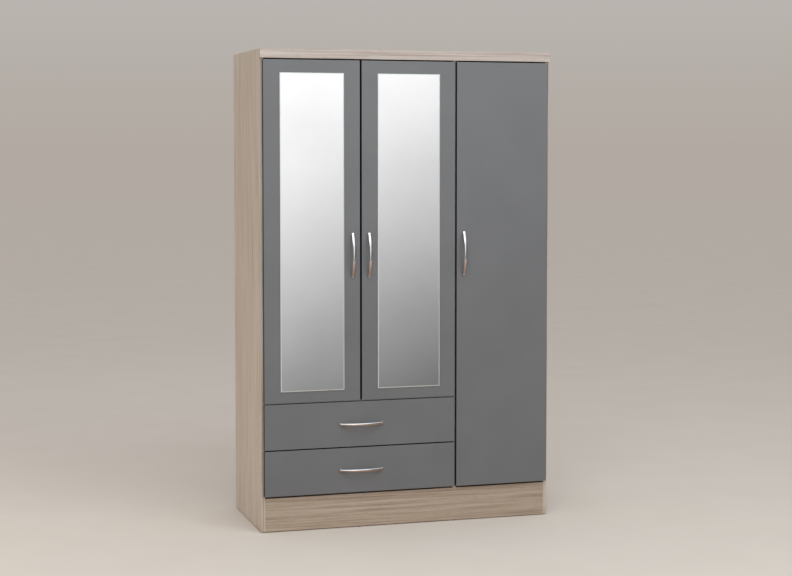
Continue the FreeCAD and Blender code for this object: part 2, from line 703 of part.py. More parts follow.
def cabinet_runner(wall, sign, foot):
    """The channel screwed to a carcass panel, with the roller at its front end."""
    body = new_body("cabinet_runner", (wall, f"{FRONT} + RunnerFront", f"{foot} - ChannelBelow"))
    section = (("0", "0"), ("ChannelWidth", "0"), ("ChannelWidth", SHEET), (SHEET, SHEET),
               (SHEET, f"ChannelHeight - {SHEET}"), ("ChannelWidth", f"ChannelHeight - {SHEET}"),
               ("ChannelWidth", "ChannelHeight"), ("0", "ChannelHeight"))
    pad(body, "XZ_Plane", [(f"{sign}({across})", up) for across, up in section],
        "CabinetRunnerLength", backwards=True)
    centre = f"(FlangeHeight - {SHEET} - RollerGap - FrontRoller / 2)"
    roller_pin(body, sign, f"{sign}{SHEET} / 2", "RollerInset", f"{centre} + ChannelBelow",
               f"RollerWidth + {SHEET}")
    start = (f"({wall} + {SHEET} + RollerSideGap)" if sign == "+"
             else f"({wall} - {SHEET} - RollerSideGap - RollerWidth)")
    cabinet_rollers.append(roller(start, f"{FRONT} + RunnerFront + RollerInset",
                                  f"{foot} + {centre}", "FrontRoller"))
    cabinet_runners.append(body)


def drawer_runner(side_face, sign, foot):
    """The angle under one side of a drawer, with the roller at its rear end."""
    front = f"({DOOR_BACK} + DrawerRunnerSetback)"
    body = new_body("drawer_runner", (side_face, front, foot))
    angle = (("DrawerSide", f"-{SHEET}"), ("DrawerSide", "0"), ("0", "0"), ("0", "FlangeHeight"),
             (f"-{SHEET}", "FlangeHeight"), (f"-{SHEET}", f"-{SHEET}"))
    flange = ((f"-{SHEET} / 2", f"FlangeHeight - {SHEET}"), (f"-{SHEET} / 2", "FlangeHeight"),
              ("-FlangeWidth", "FlangeHeight"), ("-FlangeWidth", f"FlangeHeight - {SHEET}"))
    for section, length in ((angle, "DrawerRunnerLength"), (flange, "FlangeLength")):
        pad(body, "XZ_Plane", [(f"{sign}({across})", up) for across, up in section], length,
            backwards=True)
    outward = "-" if sign == "+" else "+"
    y = "(DrawerRunnerLength - RearRoller / 2 - RollerEndGap)"
    centre = f"({SHEET} + RollerGap + RearRoller / 2 - ChannelBelow)"
    roller_pin(body, outward, f"{outward}{SHEET} / 2", y, centre, f"RollerWidth + {SHEET}")
    start = (f"({side_face} - {SHEET} - RollerSideGap - RollerWidth)" if sign == "+"
             else f"({side_face} + {SHEET} + RollerSideGap)")
    return body, roller(start, f"{front} + {y}", f"{foot} + {centre}", "RearRoller")


def drawer(name, foot):
    """A drawer: its front, a box with a grooved-in base, a handle and a pair of runners."""
    left = "(Reveal - Width / 2)"
    right = f"({left} + 2 * {DOOR_WIDTH} + DoorGap)"
    middle_x = f"(({left} + {right}) / 2)"
    front = board(name + "_front", (left, DOOR_FACE, foot),
                  (right, DOOR_BACK, f"{foot} + DrawerFrontHeight"))

    low_x = f"({INNER_LEFT} + DrawerClear)"
    high_x = f"({DIVIDER_LEFT} - DrawerClear)"
    low_z = f"({foot} + DrawerLift)"
    high_z = f"({low_z} + DrawerBoxHeight)"
    base_z = f"({low_z} + BaseLift)"
    rear = f"({DOOR_BACK} + DrawerDepth)"
    inside_left = f"({low_x} + DrawerSide)"
    inside_right = f"({high_x} - DrawerSide)"
    sides = {"left": board(name + "_left_side", (low_x, DOOR_BACK, low_z),
                           (inside_left, rear, high_z)),
             "right": board(name + "_right_side", (inside_right, DOOR_BACK, low_z),
                            (high_x, rear, high_z))}
    board(name + "_back", (inside_left, f"{rear} - DrawerSide", f"{base_z} + BaseThick"),
          (inside_right, rear, high_z))
    tongue = "(GrooveDepth - GrooveClear)"
    board(name + "_base", (f"{inside_left} - {tongue}", f"{DOOR_BACK} - {tongue}", base_z),
          (f"{inside_right} + {tongue}", rear, f"{base_z} + BaseThick"))
    slot_z = f"({base_z} - GrooveClear / 2)"
    slot_height = "BaseThick + GrooveClear"
    for side, face in (("left", "+X"), ("right", "-X")):
        groove(sides[side], face, (f"{DOOR_BACK} - CutPast", slot_z),
               ("DrawerDepth + 2 * CutPast", slot_height), "GrooveDepth", "DrawerSide")
    groove(front, "+Y", (f"{inside_left} - GrooveDepth", slot_z),
           (f"{inside_right} - {inside_left} + 2 * GrooveDepth", slot_height), "GrooveDepth",
           "DoorThick")
    fit_handle(name, front, middle_x, f"({foot} + DrawerFrontHeight / 2)", False)

    pairs = []
    for wall, face_x, sign in ((INNER_LEFT, low_x, "+"), (DIVIDER_LEFT, high_x, "-")):
        cabinet_runner(wall, sign, low_z)
        pairs.append(drawer_runner(face_x, sign, low_z))
    group(name + "_runners", [runner for runner, wheel in pairs])
    group(name + "_rollers", [wheel for runner, wheel in pairs])


drawer("lower_drawer", "FrontFoot")
drawer("upper_drawer", UPPER_FOOT)
group("cabinet_runners", cabinet_runners)
group("cabinet_rollers", cabinet_rollers)


# Check every piece, then write them out -----------------------------------------------------------

doc.recompute()
failed = [item.Label for item in doc.Objects if {"Invalid", "Error"} & set(item.State)]
failed += [node.Label for node in NODES if node.Shape.isNull() or not node.Shape.isValid()]
if failed:
    raise RuntimeError(f"these objects did not build: {failed}")
os.makedirs("parts", exist_ok=True)
for node in NODES:
    node.Shape.exportStep(f"parts/{node.Label}.step")
whole = FreeCAD.BoundBox()
for node in NODES:
    whole.add(node.Shape.BoundBox)
print(f"{len(NODES)} nodes, {sum(len(node.Shape.Solids) for node in NODES)} solids, box {whole}")
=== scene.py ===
# %% [markdown]
# # A three-door wardrobe with mirrors and drawers
#
# This lesson dresses a finished cabinet design. The design file already holds every board and fitting at
# its real size, so nothing here is measured again. Each cell asks the frame where a piece is, builds a
# better mesh in the same place, and gives it a finish. The wardrobe is flat-pack furniture: pale oak-effect
# boards outside, grey gloss doors, two glued-on mirrors and chrome bow handles.

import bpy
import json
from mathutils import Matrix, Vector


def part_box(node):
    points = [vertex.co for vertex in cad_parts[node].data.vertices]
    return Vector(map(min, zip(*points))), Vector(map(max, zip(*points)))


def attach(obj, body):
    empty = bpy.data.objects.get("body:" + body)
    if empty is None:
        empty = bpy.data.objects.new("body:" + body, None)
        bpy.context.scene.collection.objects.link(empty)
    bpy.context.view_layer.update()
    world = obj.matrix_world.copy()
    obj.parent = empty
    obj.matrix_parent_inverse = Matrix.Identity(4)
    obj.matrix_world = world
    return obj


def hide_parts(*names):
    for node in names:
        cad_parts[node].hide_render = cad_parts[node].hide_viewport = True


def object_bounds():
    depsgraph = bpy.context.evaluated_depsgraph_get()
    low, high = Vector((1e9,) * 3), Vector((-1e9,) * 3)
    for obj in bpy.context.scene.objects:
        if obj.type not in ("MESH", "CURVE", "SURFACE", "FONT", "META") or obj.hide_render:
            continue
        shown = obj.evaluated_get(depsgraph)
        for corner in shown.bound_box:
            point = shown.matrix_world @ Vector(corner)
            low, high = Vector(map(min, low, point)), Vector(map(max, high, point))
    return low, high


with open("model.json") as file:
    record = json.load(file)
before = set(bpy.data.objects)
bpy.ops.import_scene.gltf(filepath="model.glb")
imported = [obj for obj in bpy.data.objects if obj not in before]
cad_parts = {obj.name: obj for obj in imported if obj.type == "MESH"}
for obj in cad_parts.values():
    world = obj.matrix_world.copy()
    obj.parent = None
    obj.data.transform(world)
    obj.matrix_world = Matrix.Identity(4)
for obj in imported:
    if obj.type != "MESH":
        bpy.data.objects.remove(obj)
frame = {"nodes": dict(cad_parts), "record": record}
cad_box = [list(corner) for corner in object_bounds()]

# %% [markdown]
# ## The toolbox
#
# Three modules do the work: `bpy` is Blender itself, `bmesh` is its mesh editor, and `mathutils` has
# vectors and matrices. We also look up which body each part rides on and which slot of the record names its
# material. A door board must swing with its door, while a shelf stays with the carcass.

# %% Modules and the body of each part
import json
import math

import bmesh
import bpy
from mathutils import Matrix, Vector

BODY_OF = {node: body for body, nodes in frame["record"]["behaviour"]["bodies"].items() for node in nodes}
SLOT_OF = {row["node"]: row["material_slot"] for row in frame["record"]["subparts"]}

# %% [markdown]
# ## Colours and shader nodes
#
# A finish is a small network of shader nodes. Colours are easiest to pick on the 0 to 255 scale of a
# screen, but the shader works with linear light, so `screen` converts them. `add_node` makes one node, sets
# it up and links whatever sockets it is given, which keeps each recipe below to a few lines.

# %% Helpers for shader nodes
def screen(red, green, blue):
    """A screen colour from 0 to 255, as the linear colour that shaders use."""
    linear = [((value / 255 + 0.055) / 1.055) ** 2.4 for value in (red, green, blue)]
    return (*linear, 1.0)


def feed(tree, socket, value):
    """Link a socket to another node's output, or give it a plain value."""
    if isinstance(value, bpy.types.NodeSocket):
        tree.links.new(value, socket)
    else:
        socket.default_value = value


def add_node(tree, kind, sockets=None, **settings):
    """One shader node with its settings made and its sockets fed."""
    made = tree.nodes.new("ShaderNode" + kind)
    for name, value in settings.items():
        setattr(made, name, value)
    for name, value in (sockets or {}).items():
        feed(tree, made.inputs[name], value)
    return made


def new_finish(name, **values):
    """An empty finish: its tree, its main shader and the Object coordinates that patterns read."""
    finish = bpy.data.materials.new(name)
    finish.use_nodes = True
    tree = finish.node_tree
    shader = tree.nodes["Principled BSDF"]
    for socket, value in values.items():
        shader.inputs[socket.replace("_", " ")].default_value = value
    return finish, tree, shader, add_node(tree, "TexCoord").outputs["Object"]


# %% [markdown]
# ## Patterns
#
# Almost every natural surface can be drawn with noise. Stretching its coordinates along one axis turns
# clouds into grain, and a colour ramp chooses which tones the noise becomes. These five helpers are the
# whole paint box.

# %% Helpers for patterns
def noise(tree, place, stretch, scale, detail=2.0, rough=0.5):
    """Cloudy noise from 0 to 1. A stretch below 1 along an axis draws it out along that axis."""
    squeezed = add_node(tree, "Mapping", {"Vector": place, "Scale": stretch})
    made = add_node(tree, "TexNoise", {"Vector": squeezed.outputs["Vector"], "Scale": scale,
                                       "Detail": detail, "Roughness": rough})
    return made.outputs["Fac"]


def ramp(tree, value, stops):
    """A colour for each value. The stops are (position, colour) pairs in rising order."""
    made = add_node(tree, "ValToRGB", {"Fac": value})
    elements = made.color_ramp.elements
    elements.remove(elements[1])
    elements[0].position, elements[0].color = stops[0]
    for position, colour in stops[1:]:
        elements.new(position).color = colour
    return made.outputs["Color"]


def blend(tree, amount, first, second):
    """Two colours mixed by an amount or by a mask."""
    made = add_node(tree, "Mix", data_type="RGBA")
    for index, value in ((0, amount), (6, first), (7, second)):
        feed(tree, made.inputs[index], value)
    return made.outputs[2]


def span(tree, value, low=0.0, high=1.0, start=0.0, end=1.0):
    """A value moved from one range, 0 to 1 unless told otherwise, to another."""
    made = add_node(tree, "MapRange", {"Value": value, "From Min": start, "From Max": end,
                                       "To Min": low, "To Max": high})
    return made.outputs["Result"]


def bump(tree, shader, height, strength, distance):
    """Let a height pattern tilt the surface a little."""
    made = add_node(tree, "Bump", {"Height": height, "Strength": strength, "Distance": distance})
    tree.links.new(made.outputs["Normal"], shader.inputs["Normal"])


BLACK = (0, 0, 0, 1)

# %% [markdown]
# ## Oak-effect foil
#
# The carcass is chipboard wrapped in printed foil: a greyish, pale oak whose grain is long thin streaks
# along each board. Real veneer could be copied with ring patterns, but a printed straight grain is simpler:
# noise drawn out about sixty times along one axis. Four layers share the work. Broad bands shift the tone
# across a board, streaks draw the grain, thin dark lines follow it, and fine pores give it scale. Each
# board picks the version whose grain runs its way. The plinth's foil is painted a shade browner and darker,
# as painted shade for the doors' overhang above it, and the fascia's a shade cooler, as painted cool light.

# %% Oak foil with the grain along X, Y or Z
OAK_PALE = screen(200, 190, 179)
OAK_MIDDLE = screen(184, 171, 157)
OAK_DARK = screen(150, 135, 119)
OAK_PORE = screen(132, 116, 100)
# Each layer: how far it is drawn out, its scale, its detail and its roughness.
BANDS = (0.06, 14.0, 2.0, 0.5)
STREAKS = (0.016, 150.0, 4.0, 0.6)
LINES = (0.012, 210.0, 1.0, 0.5)
PORES = (0.035, 900.0, 2.0, 0.6)
BAND_SHARE = 0.35
LINE_MASK = [(0.3, (0.8, 0.8, 0.8, 1)), (0.42, BLACK)]
PORE_MASK = [(0.34, (0.4, 0.4, 0.4, 1)), (0.44, BLACK)]
OAK_ROUGHNESS = (0.34, 0.46)
# Painted shade: the plinth's tones are darkened and browned for the shadow under the doors' overhang.
PLINTH_SHADE_TINT = (0.84, 0.78, 0.73)
# Painted light: the fascia's tones are cooled for the cool light from the lamp overhead.
FASCIA_COOL_LIGHT_TINT = (0.97, 0.98, 1.06)


def oak_finish(name, axis, lighting_tint=(1, 1, 1)):
    """Printed oak with its grain along one axis, and its tones turned a little by a lighting tint: painted
    shade or painted light.
    """
    finish, tree, shader, place = new_finish(name)
    pale, middle, dark, pore = [tuple(part * share for part, share in zip(tone, lighting_tint + (1,)))
                                for tone in (OAK_PALE, OAK_MIDDLE, OAK_DARK, OAK_PORE)]

    def layer(stretch, scale, detail, rough):
        along = [stretch if letter == axis else 1.0 for letter in "XYZ"]
        return noise(tree, place, along, scale, detail, rough)

    bands, streaks, lines, pores = (layer(*recipe) for recipe in (BANDS, STREAKS, LINES, PORES))
    grain = ramp(tree, streaks, [(0.3, dark), (0.5, middle), (0.7, pale)])
    toned = blend(tree, span(tree, bands, 0.0, BAND_SHARE), grain, middle)
    lined = blend(tree, ramp(tree, lines, LINE_MASK), toned, dark)
    colour = blend(tree, ramp(tree, pores, PORE_MASK), lined, pore)
    tree.links.new(colour, shader.inputs["Base Color"])
    tree.links.new(span(tree, streaks, *OAK_ROUGHNESS), shader.inputs["Roughness"])
    bump(tree, shader, pores, 0.08, 0.0002)
    return finish


OAK = {axis: oak_finish("oak_foil_" + axis, axis) for axis in "XYZ"}
# The plinth and the fascia get their own oak, with painted shade and painted cool light.
LIGHT_AND_SHADE_OAK = {"plinth": oak_finish("oak_foil_plinth", "X", PLINTH_SHADE_TINT),
           "top_fascia": oak_finish("oak_foil_fascia", "X", FASCIA_COOL_LIGHT_TINT)}
print("oak finishes:", [finish.name for finish in (*OAK.values(), *LIGHT_AND_SHADE_OAK.values())])

# %% [markdown]
# ## Grey gloss foil
#
# The doors and drawer fronts are wrapped in a smooth mid-grey foil with a soft shine. A flat grey would
# look like plastic card, so the tone drifts by a percent or two over a hand's width, and the foil follows
# the chipboard under it with a very faint ripple that only shows in reflections. The cut edges carry a
# near-black strip in the same recipe, as painted shade for the dark gaps between the doors.

# %% Grey foil
GREY_ROUGHNESS = (0.32, 0.38)


def grey_finish(name, dark, light):
    """Smooth foil whose tone and shine drift slightly between two values."""
    finish, tree, shader, place = new_finish(name)
    drift = noise(tree, place, (1, 1, 1), 6.0, 3.0)
    ripple = noise(tree, place, (1, 1, 1), 150.0)
    colour = ramp(tree, drift, [(0.3, dark), (0.7, light)])
    tree.links.new(colour, shader.inputs["Base Color"])
    tree.links.new(span(tree, drift, *GREY_ROUGHNESS), shader.inputs["Roughness"])
    bump(tree, shader, ripple, 0.04, 0.0003)
    return finish


GREY = grey_finish("grey_gloss_foil", screen(103, 104, 106), screen(107, 108, 110))
# Painted shade: near-black edges and roundings stand for the shadow in the gaps between the doors.
GAP_SHADE_EDGE = grey_finish("dark_edge_strip", screen(20, 20, 21), screen(24, 24, 25))

# %% [markdown]
# ## Metals and mirror glass
#
# Chrome and silvered glass are fully metallic, and nearly all their realism is in the roughness: polished,
# but never perfect. One recipe serves them all. The roughness drifts between two values, as wiping and
# plating leave it, and the colour dips slightly where it is duller. A mirror's ground border is rough and
# scatters light, so it is only half metallic.

# %% Finishes of metal and mirror
DULLED = 0.93


def metal_finish(name, colour, smooth, dull, scale):
    """A metal whose roughness drifts between two values."""
    finish, tree, shader, place = new_finish(name, Metallic=1.0)
    drift = noise(tree, place, (1, 1, 1), scale, 4.0)
    darker = tuple(value * DULLED for value in colour[:3]) + (1.0,)
    tree.links.new(ramp(tree, drift, [(0.35, darker), (0.65, colour)]), shader.inputs["Base Color"])
    tree.links.new(span(tree, drift, smooth, dull), shader.inputs["Roughness"])
    return finish


CHROME = metal_finish("polished_chrome", screen(232, 232, 234), 0.03, 0.08, 40.0)
MIRROR = metal_finish("silvered_glass", screen(243, 243, 243), 0.004, 0.012, 3.0)
GROUND_GLASS = metal_finish("ground_mirror_edge", screen(214, 217, 216), 0.24, 0.34, 30.0)
GROUND_GLASS.node_tree.nodes["Principled BSDF"].inputs["Metallic"].default_value = 0.5
NICKEL = metal_finish("nickel_plate", screen(198, 196, 190), 0.18, 0.3, 90.0)
ZINC = metal_finish("zinc_plate", screen(186, 186, 182), 0.28, 0.45, 140.0)

# %% [markdown]
# ## Plastic, painted runners and hardboard
#
# The remaining finishes are matt. The thin back sheets are hardboard: painted pale on the room side, raw
# brown fibre on the side that faces the wall. The rollers and the joint strip are nylon, the glides are a
# dark nylon, and the runners are steel with a white powder coat.

# %% Matt finishes
def matt_finish(name, dark, light, scale, roughness, relief):
    """A matt surface with a fine mottle between two tones and a slight texture to the touch."""
    finish, tree, shader, place = new_finish(name, Roughness=roughness)
    mottle = noise(tree, place, (1, 1, 1), scale, 5.0, 0.6)
    tree.links.new(ramp(tree, mottle, [(0.3, dark), (0.7, light)]), shader.inputs["Base Color"])
    bump(tree, shader, mottle, relief, 0.0002)
    return finish


RUNNER_COAT = matt_finish("white_runner_coat", screen(218, 216, 208), screen(230, 228, 221), 220.0, 0.4, 0.1)
NYLON = matt_finish("white_nylon", screen(214, 213, 207), screen(226, 225, 220), 160.0, 0.5, 0.06)
GLIDE_NYLON = matt_finish("brown_nylon", screen(62, 54, 48), screen(78, 69, 62), 160.0, 0.55, 0.06)
BUMPER_GEL = matt_finish("bumper_gel", screen(190, 190, 188), screen(206, 206, 204), 200.0, 0.3, 0.03)
PALE_PAINT = matt_finish("painted_hardboard", screen(196, 189, 178), screen(206, 200, 190), 420.0, 0.55, 0.2)
RAW_FIBRE = matt_finish("raw_hardboard", screen(122, 92, 62), screen(154, 121, 86), 260.0, 0.85, 0.5)

FINISH_OF_SLOT = {
    "oak_board": OAK["X"], "grey_gloss": GREY, "drawer_board": OAK["Y"], "back_board": PALE_PAINT,
    "mirror_glass": MIRROR, "chrome": CHROME, "rail_chrome": CHROME, "hinge_steel": NICKEL,
    "screw_steel": ZINC, "zinc": ZINC, "runner_paint": RUNNER_COAT, "white_plastic": NYLON,
    "glide_plastic": GLIDE_NYLON,
}
for node, thing in frame["nodes"].items():
    thing.data.materials.clear()
    thing.data.materials.append(FINISH_OF_SLOT[SLOT_OF[node]])
print(len(frame["nodes"]), "parts have a finish")

# %% [markdown]
# ## From a bmesh to a piece
#
# Every new mesh ends the same way: merge doubled points, point the faces outwards, choose which faces are
# shaded smooth, hand it to Blender and let it ride on its body. Large flat faces stay flat and only narrow
# faces are smoothed, so panels keep clean, even reflections. Corners sharper than 40 degrees stay crisp.

# %% Helper: finish a piece
NARROW_FACE = 2.5e-5
CRISP = math.radians(40)
MERGE = 1e-6
SQUARE_ON = 0.9


def as_mesh(bm, name):
    """A Blender mesh made from a bmesh, which is then freed."""
    mesh = bpy.data.meshes.new(name)
    bm.to_mesh(mesh)
    bm.free()
    return mesh


def in_scene(name, data):
    """A new object in the scene for a mesh, a lamp or a camera."""
    thing = bpy.data.objects.new(name, data)
    bpy.context.scene.collection.objects.link(thing)
    return thing


def make_piece(bm, name, finishes, body, replaced=(), all_smooth=False):
    """Turn a bmesh into an object that rides on a body and may stand for CAD nodes."""
    bmesh.ops.remove_doubles(bm, verts=bm.verts, dist=MERGE)
    bmesh.ops.recalc_face_normals(bm, faces=bm.faces)
    if not bm.faces:
        raise RuntimeError(name + " has no faces")
    for face in bm.faces:
        face.smooth = all_smooth or face.calc_area() < NARROW_FACE
    for edge in bm.edges:
        edge.smooth = edge.calc_face_angle(math.pi) < CRISP
    mesh = as_mesh(bm, name)
    for finish in finishes:
        mesh.materials.append(finish)
    piece = in_scene(name, mesh)
    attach(piece, body)
    if replaced:
        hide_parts(*replaced)
    return piece


def stand_in(bm, node, ending, finishes, all_smooth=False):
    """A piece that replaces one CAD node, on that node's body."""
    return make_piece(bm, node + ending, finishes, BODY_OF[node], [node], all_smooth)


# %% [markdown]
# ## Blocks and rounds
#
# Boards start as blocks and turned parts as cylinders. Both come straight from bmesh operators. A block is
# a unit cube scaled to its size and moved to its place. `round_edges` is the bevel operator with its
# settings spelled out, because its defaults in code differ from the editor's.

# %% Helpers for basic shapes
def add_block(bm, low, high):
    """Add a block between two corners and return its points."""
    verts = bmesh.ops.create_cube(bm, size=1.0)["verts"]
    bmesh.ops.scale(bm, vec=Vector(high) - Vector(low), verts=verts)
    bmesh.ops.translate(bm, vec=(Vector(high) + Vector(low)) / 2, verts=verts)
    return verts


def spread(edge, axis):
    """How far apart an edge's two ends are along X, Y or Z, as 0, 1 or 2."""
    return abs(edge.verts[0].co[axis] - edge.verts[1].co[axis])


def edges_of(verts):
    """Every edge that touches one of the points."""
    return list({edge for vert in verts for edge in vert.link_edges})


def round_edges(bm, edges, radius, segments=2):
    bmesh.ops.bevel(bm, geom=edges, offset=radius, segments=segments, affect="EDGES", profile=0.5,
                    material=-1, clamp_overlap=True)


def add_round(bm, start, end, radius, sides=32, tip=None, edge=0.0):
    """Add a cylinder, or a cone down to a tip radius, between two points, with a rounded rim at its end."""
    axis = Vector(end) - Vector(start)
    turn = Vector((0, 0, 1)).rotation_difference(axis).to_matrix().to_4x4()
    place = Matrix.Translation((Vector(start) + Vector(end)) / 2) @ turn
    made = bmesh.ops.create_cone(bm, cap_ends=True, segments=sides, radius1=radius,
                                 radius2=radius if tip is None else tip, depth=axis.length, matrix=place)
    if edge:
        rims = [line for line in edges_of(made["verts"])
                if all(abs((vert.co - Vector(end)).dot(axis.normalized())) < MERGE for vert in line.verts)]
        round_edges(bm, rims, edge, 3)


def pour(part, bm):
    """Add one bmesh to another, and free the first."""
    mesh = as_mesh(part, "part")
    bm.from_mesh(mesh)
    bpy.data.meshes.remove(mesh)


def node_block(node, radius, segments=2):
    """A block with rounded edges in a node's box, and the box's two corners."""
    low, high = (Vector(corner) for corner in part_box(node))
    bm = bmesh.new()
    add_block(bm, low, high)
    round_edges(bm, bm.edges[:], radius, segments)
    return bm, low, high


# %% [markdown]
# ## Cutting pockets
#
# Some boards have pockets: for hinge cups in the doors and for the cam locks under the shelves. A Boolean
# modifier cuts one mesh out of another. We only want its result, so the modifier is evaluated once and
# thrown away. Cutters may overlap each other, as the two bars of a screw's cross do. The solver has to be
# told to expect that, or the result can come out empty.

# %% Helper: cut one bmesh out of another
def cut_with(bm, tool_bm):
    """The first bmesh with the second one cut out of it."""
    holders = [in_scene("cutting", as_mesh(part, "cutting")) for part in (bm, tool_bm)]
    cutter = holders[0].modifiers.new("cut", "BOOLEAN")
    cutter.operation = "DIFFERENCE"
    cutter.solver = "EXACT"
    cutter.use_self = True
    cutter.object = holders[1]
    evaluated = holders[0].evaluated_get(bpy.context.evaluated_depsgraph_get())
    result = bmesh.new()
    result.from_mesh(evaluated.to_mesh())
    for holder in holders:
        bpy.data.meshes.remove(holder.data)
    return result


# %% [markdown]
# ## Where the small fittings are
#
# Identical fittings share one node in the design, such as the twelve cam locks. To rebuild them we need the
# box of each one. Points that are joined by edges belong to the same fitting, so we walk from point to
# point until a group is complete, then take its lowest and highest corners.

# %% Helper: the box of each fitting in a node
def fittings(node):
    """The (low, high, middle) of each separate solid in a node, from the bottom up."""
    bm = bmesh.new()
    bm.from_mesh(frame["nodes"][node].data)
    bmesh.ops.remove_doubles(bm, verts=bm.verts, dist=MERGE)
    unseen = set(bm.verts)
    found = []
    while unseen:
        group = [unseen.pop()]
        for vert in group:
            for edge in vert.link_edges:
                other = edge.other_vert(vert)
                if other in unseen:
                    unseen.remove(other)
                    group.append(other)
        low, high = (Vector([pick(vert.co[axis] for vert in group) for axis in range(3)])
                     for pick in (min, max))
        found.append((low, high, (low + high) / 2))
    bm.free()
    return sorted(found, key=lambda row: [round(value, 4) for value in (row[2].z, row[2].x, row[2].y)])


def overlap(box, low, high):
    """Whether a fitting's box shares room with the box between two corners."""
    return all(box[0][axis] < high[axis] - MERGE and box[1][axis] > low[axis] + MERGE for axis in range(3))


CAMS = fittings("cam_locks")
print(len(CAMS), "cam locks, the first at", [round(value, 3) for value in CAMS[0][2]])

# %% [markdown]
# ## The carcass boards
#
# Each board is 15 mm chipboard: foil on both faces and a glued strip of the same print along the cut edges.
# Sawn and edged boards are never razor sharp, so every edge gets a tiny round that catches the light. The
# edge strip is a second material slot, whose grain always runs along the edge, which is how real edging
# looks. Boards that are held by cam locks get a pocket around each one.

# %% Build the oak boards
EDGE_ROUND = 0.0005
CLEARANCE = 0.0002
PROUD = 0.001
CAM_SIDES = 40
GRAIN = {
    "left_side_panel": "Z", "right_side_panel": "Z", "centre_divider": "Z", "top_panel": "X",
    "bottom_panel": "X", "drawer_deck": "X", "top_fascia": "X", "plinth": "X", "rear_plinth_rail": "X",
    "plinth_brace": "Y", "left_hat_shelf": "X", "right_hat_shelf": "X",
}


def oak_board(node, grain):
    bm, low, high = node_block(node, EDGE_ROUND)
    size = high - low
    thin = min(range(3), key=lambda axis: size[axis])
    pockets = [cam for cam in CAMS if overlap(cam, low, high)]
    if pockets:
        tool = bmesh.new()
        for cam_low, cam_high, middle in pockets:
            foot, top = (middle.x, middle.y, cam_low.z - PROUD), (middle.x, middle.y, cam_high.z)
            add_round(tool, foot, top, (cam_high.x - cam_low.x) / 2 + CLEARANCE, CAM_SIDES)
        bm = cut_with(bm, tool)
    for face in bm.faces:
        face.material_index = 0 if abs(face.normal[thin]) > SQUARE_ON else 1
    strip = "XYZ"[max(range(3), key=lambda axis: size[axis])]
    # The plinth and the fascia take their oak with painted shade or painted cool light.
    finishes = [LIGHT_AND_SHADE_OAK.get(node, OAK[grain]), LIGHT_AND_SHADE_OAK.get(node, OAK[strip])]
    return stand_in(bm, node, "_foil", finishes)


boards = [oak_board(node, grain) for node, grain in GRAIN.items()]
print(len(boards), "oak boards,", len(CAMS), "cam pockets")

# %% [markdown]
# ## Doors and drawer fronts
#
# A door is a grey board with a near-black strip on all four edges and their roundings: painted shade that
# draws the thin dark lines in the gaps between the doors. Its back has round pockets for the hinge cups, 35
# mm across, so a plain block won't do: the cups would be buried in it. The cups sit nearer the hinge side,
# and their boxes say exactly where.

# %% Build the doors and fronts
DOOR_ROUND = 0.0015
CUP_SIDES = 48
SIDEWAYS = 0.2


def grey_panel(node, cups=None):
    bm, _, high = node_block(node, DOOR_ROUND, 3)
    if cups:
        tool = bmesh.new()
        for cup_low, cup_high, middle in fittings(cups):
            floor, mouth = cup_low.y - CLEARANCE, high.y + PROUD
            add_round(tool, (middle.x, floor, middle.z), (middle.x, mouth, middle.z),
                      (cup_high.x - cup_low.x) / 2 + CLEARANCE, CUP_SIDES)
        bm = cut_with(bm, tool)
    for face in bm.faces:
        # The edges and their roundings take the painted gap shade.
        on_edge = abs(face.normal.x) > SIDEWAYS or abs(face.normal.z) > SQUARE_ON
        face.material_index = 1 if on_edge else 0
    return stand_in(bm, node, "_foil", [GREY, GAP_SHADE_EDGE])


for side in ("left", "middle", "right"):
    grey_panel(side + "_door_panel", side + "_door_hinge_cups")
for level in ("lower", "upper"):
    grey_panel(level + "_drawer_front")
print("hinge cups on the right door:", len(fittings("right_door_hinge_cups")))

# %% [markdown]
# ## Mirrors
#
# Each mirror is 3 mm glass, silvered on the back and stuck to its door. Its border is ground to a shallow
# slope, which shows as a thin bright frame because it reflects another part of the room. An inset makes
# that border: the front face gets a smaller copy of itself, and the old outer corners are pushed back.

# %% Build the mirrors
GROUND_WIDTH = 0.0035
GROUND_DEPTH = 0.00035
FLAT = 0.9999


def mirror_piece(node):
    bm = bmesh.new()
    add_block(bm, *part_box(node))
    bm.normal_update()
    front = min(bm.faces, key=lambda face: face.normal.y)
    corners = [vert.co.copy() for vert in front.verts]
    bmesh.ops.inset_region(bm, faces=[front], thickness=GROUND_WIDTH, use_even_offset=True)
    outer = [vert for vert in bm.verts if any((vert.co - corner).length < MERGE for corner in corners)]
    bmesh.ops.translate(bm, vec=(0, GROUND_DEPTH, 0), verts=outer)
    bm.normal_update()
    for face in bm.faces:
        face.material_index = 0 if abs(face.normal.y) > FLAT else 1
    return stand_in(bm, node, "_glass", [MIRROR, GROUND_GLASS])


mirrors = [mirror_piece(side + "_door_mirror") for side in ("left", "middle")]
print("mirrors:", [mirror.name for mirror in mirrors])

# %% [markdown]
# ## Bow handles
#
# The handles are chromed castings: a strap with a domed front that rises in a shallow arc from two blunt
# feet. We start from a cylinder of many sides and press its section into a D: flat behind, domed in front.
# The bend is one formula for the outside curve and one for the inside. Each is an arc over its own chord,
# so the strap is thinner in the middle and grows into the feet.

# %% The section and the bend of a handle
STRAP_THICK = 0.0055
FOOT_LENGTH = 0.010
FOOT_END = 0.006
STRAP_STEPS = 64
SECTION_SIDES = 40
SHOULDER = 0.5
FLAT_BACK = 0.4
DOMED_FRONT = 1.0


def arc_height(along, half_chord, rise):
    """How high an arc stands over its chord, at a distance from the chord's middle."""
    radius = (half_chord ** 2 + rise ** 2) / (2 * rise)
    return math.sqrt(max(radius ** 2 - along ** 2, 0.0)) - (radius - rise)


def pressed(across, up):
    """A point of the unit circle pressed into a D, as across from -1 to 1 and a share of the thickness."""
    power = DOMED_FRONT if up >= 0 else FLAT_BACK
    height = 1 - SHOULDER if up >= 0 else SHOULDER
    return (math.copysign(abs(across) ** power, across),
            SHOULDER + math.copysign(height * abs(up) ** power, up))


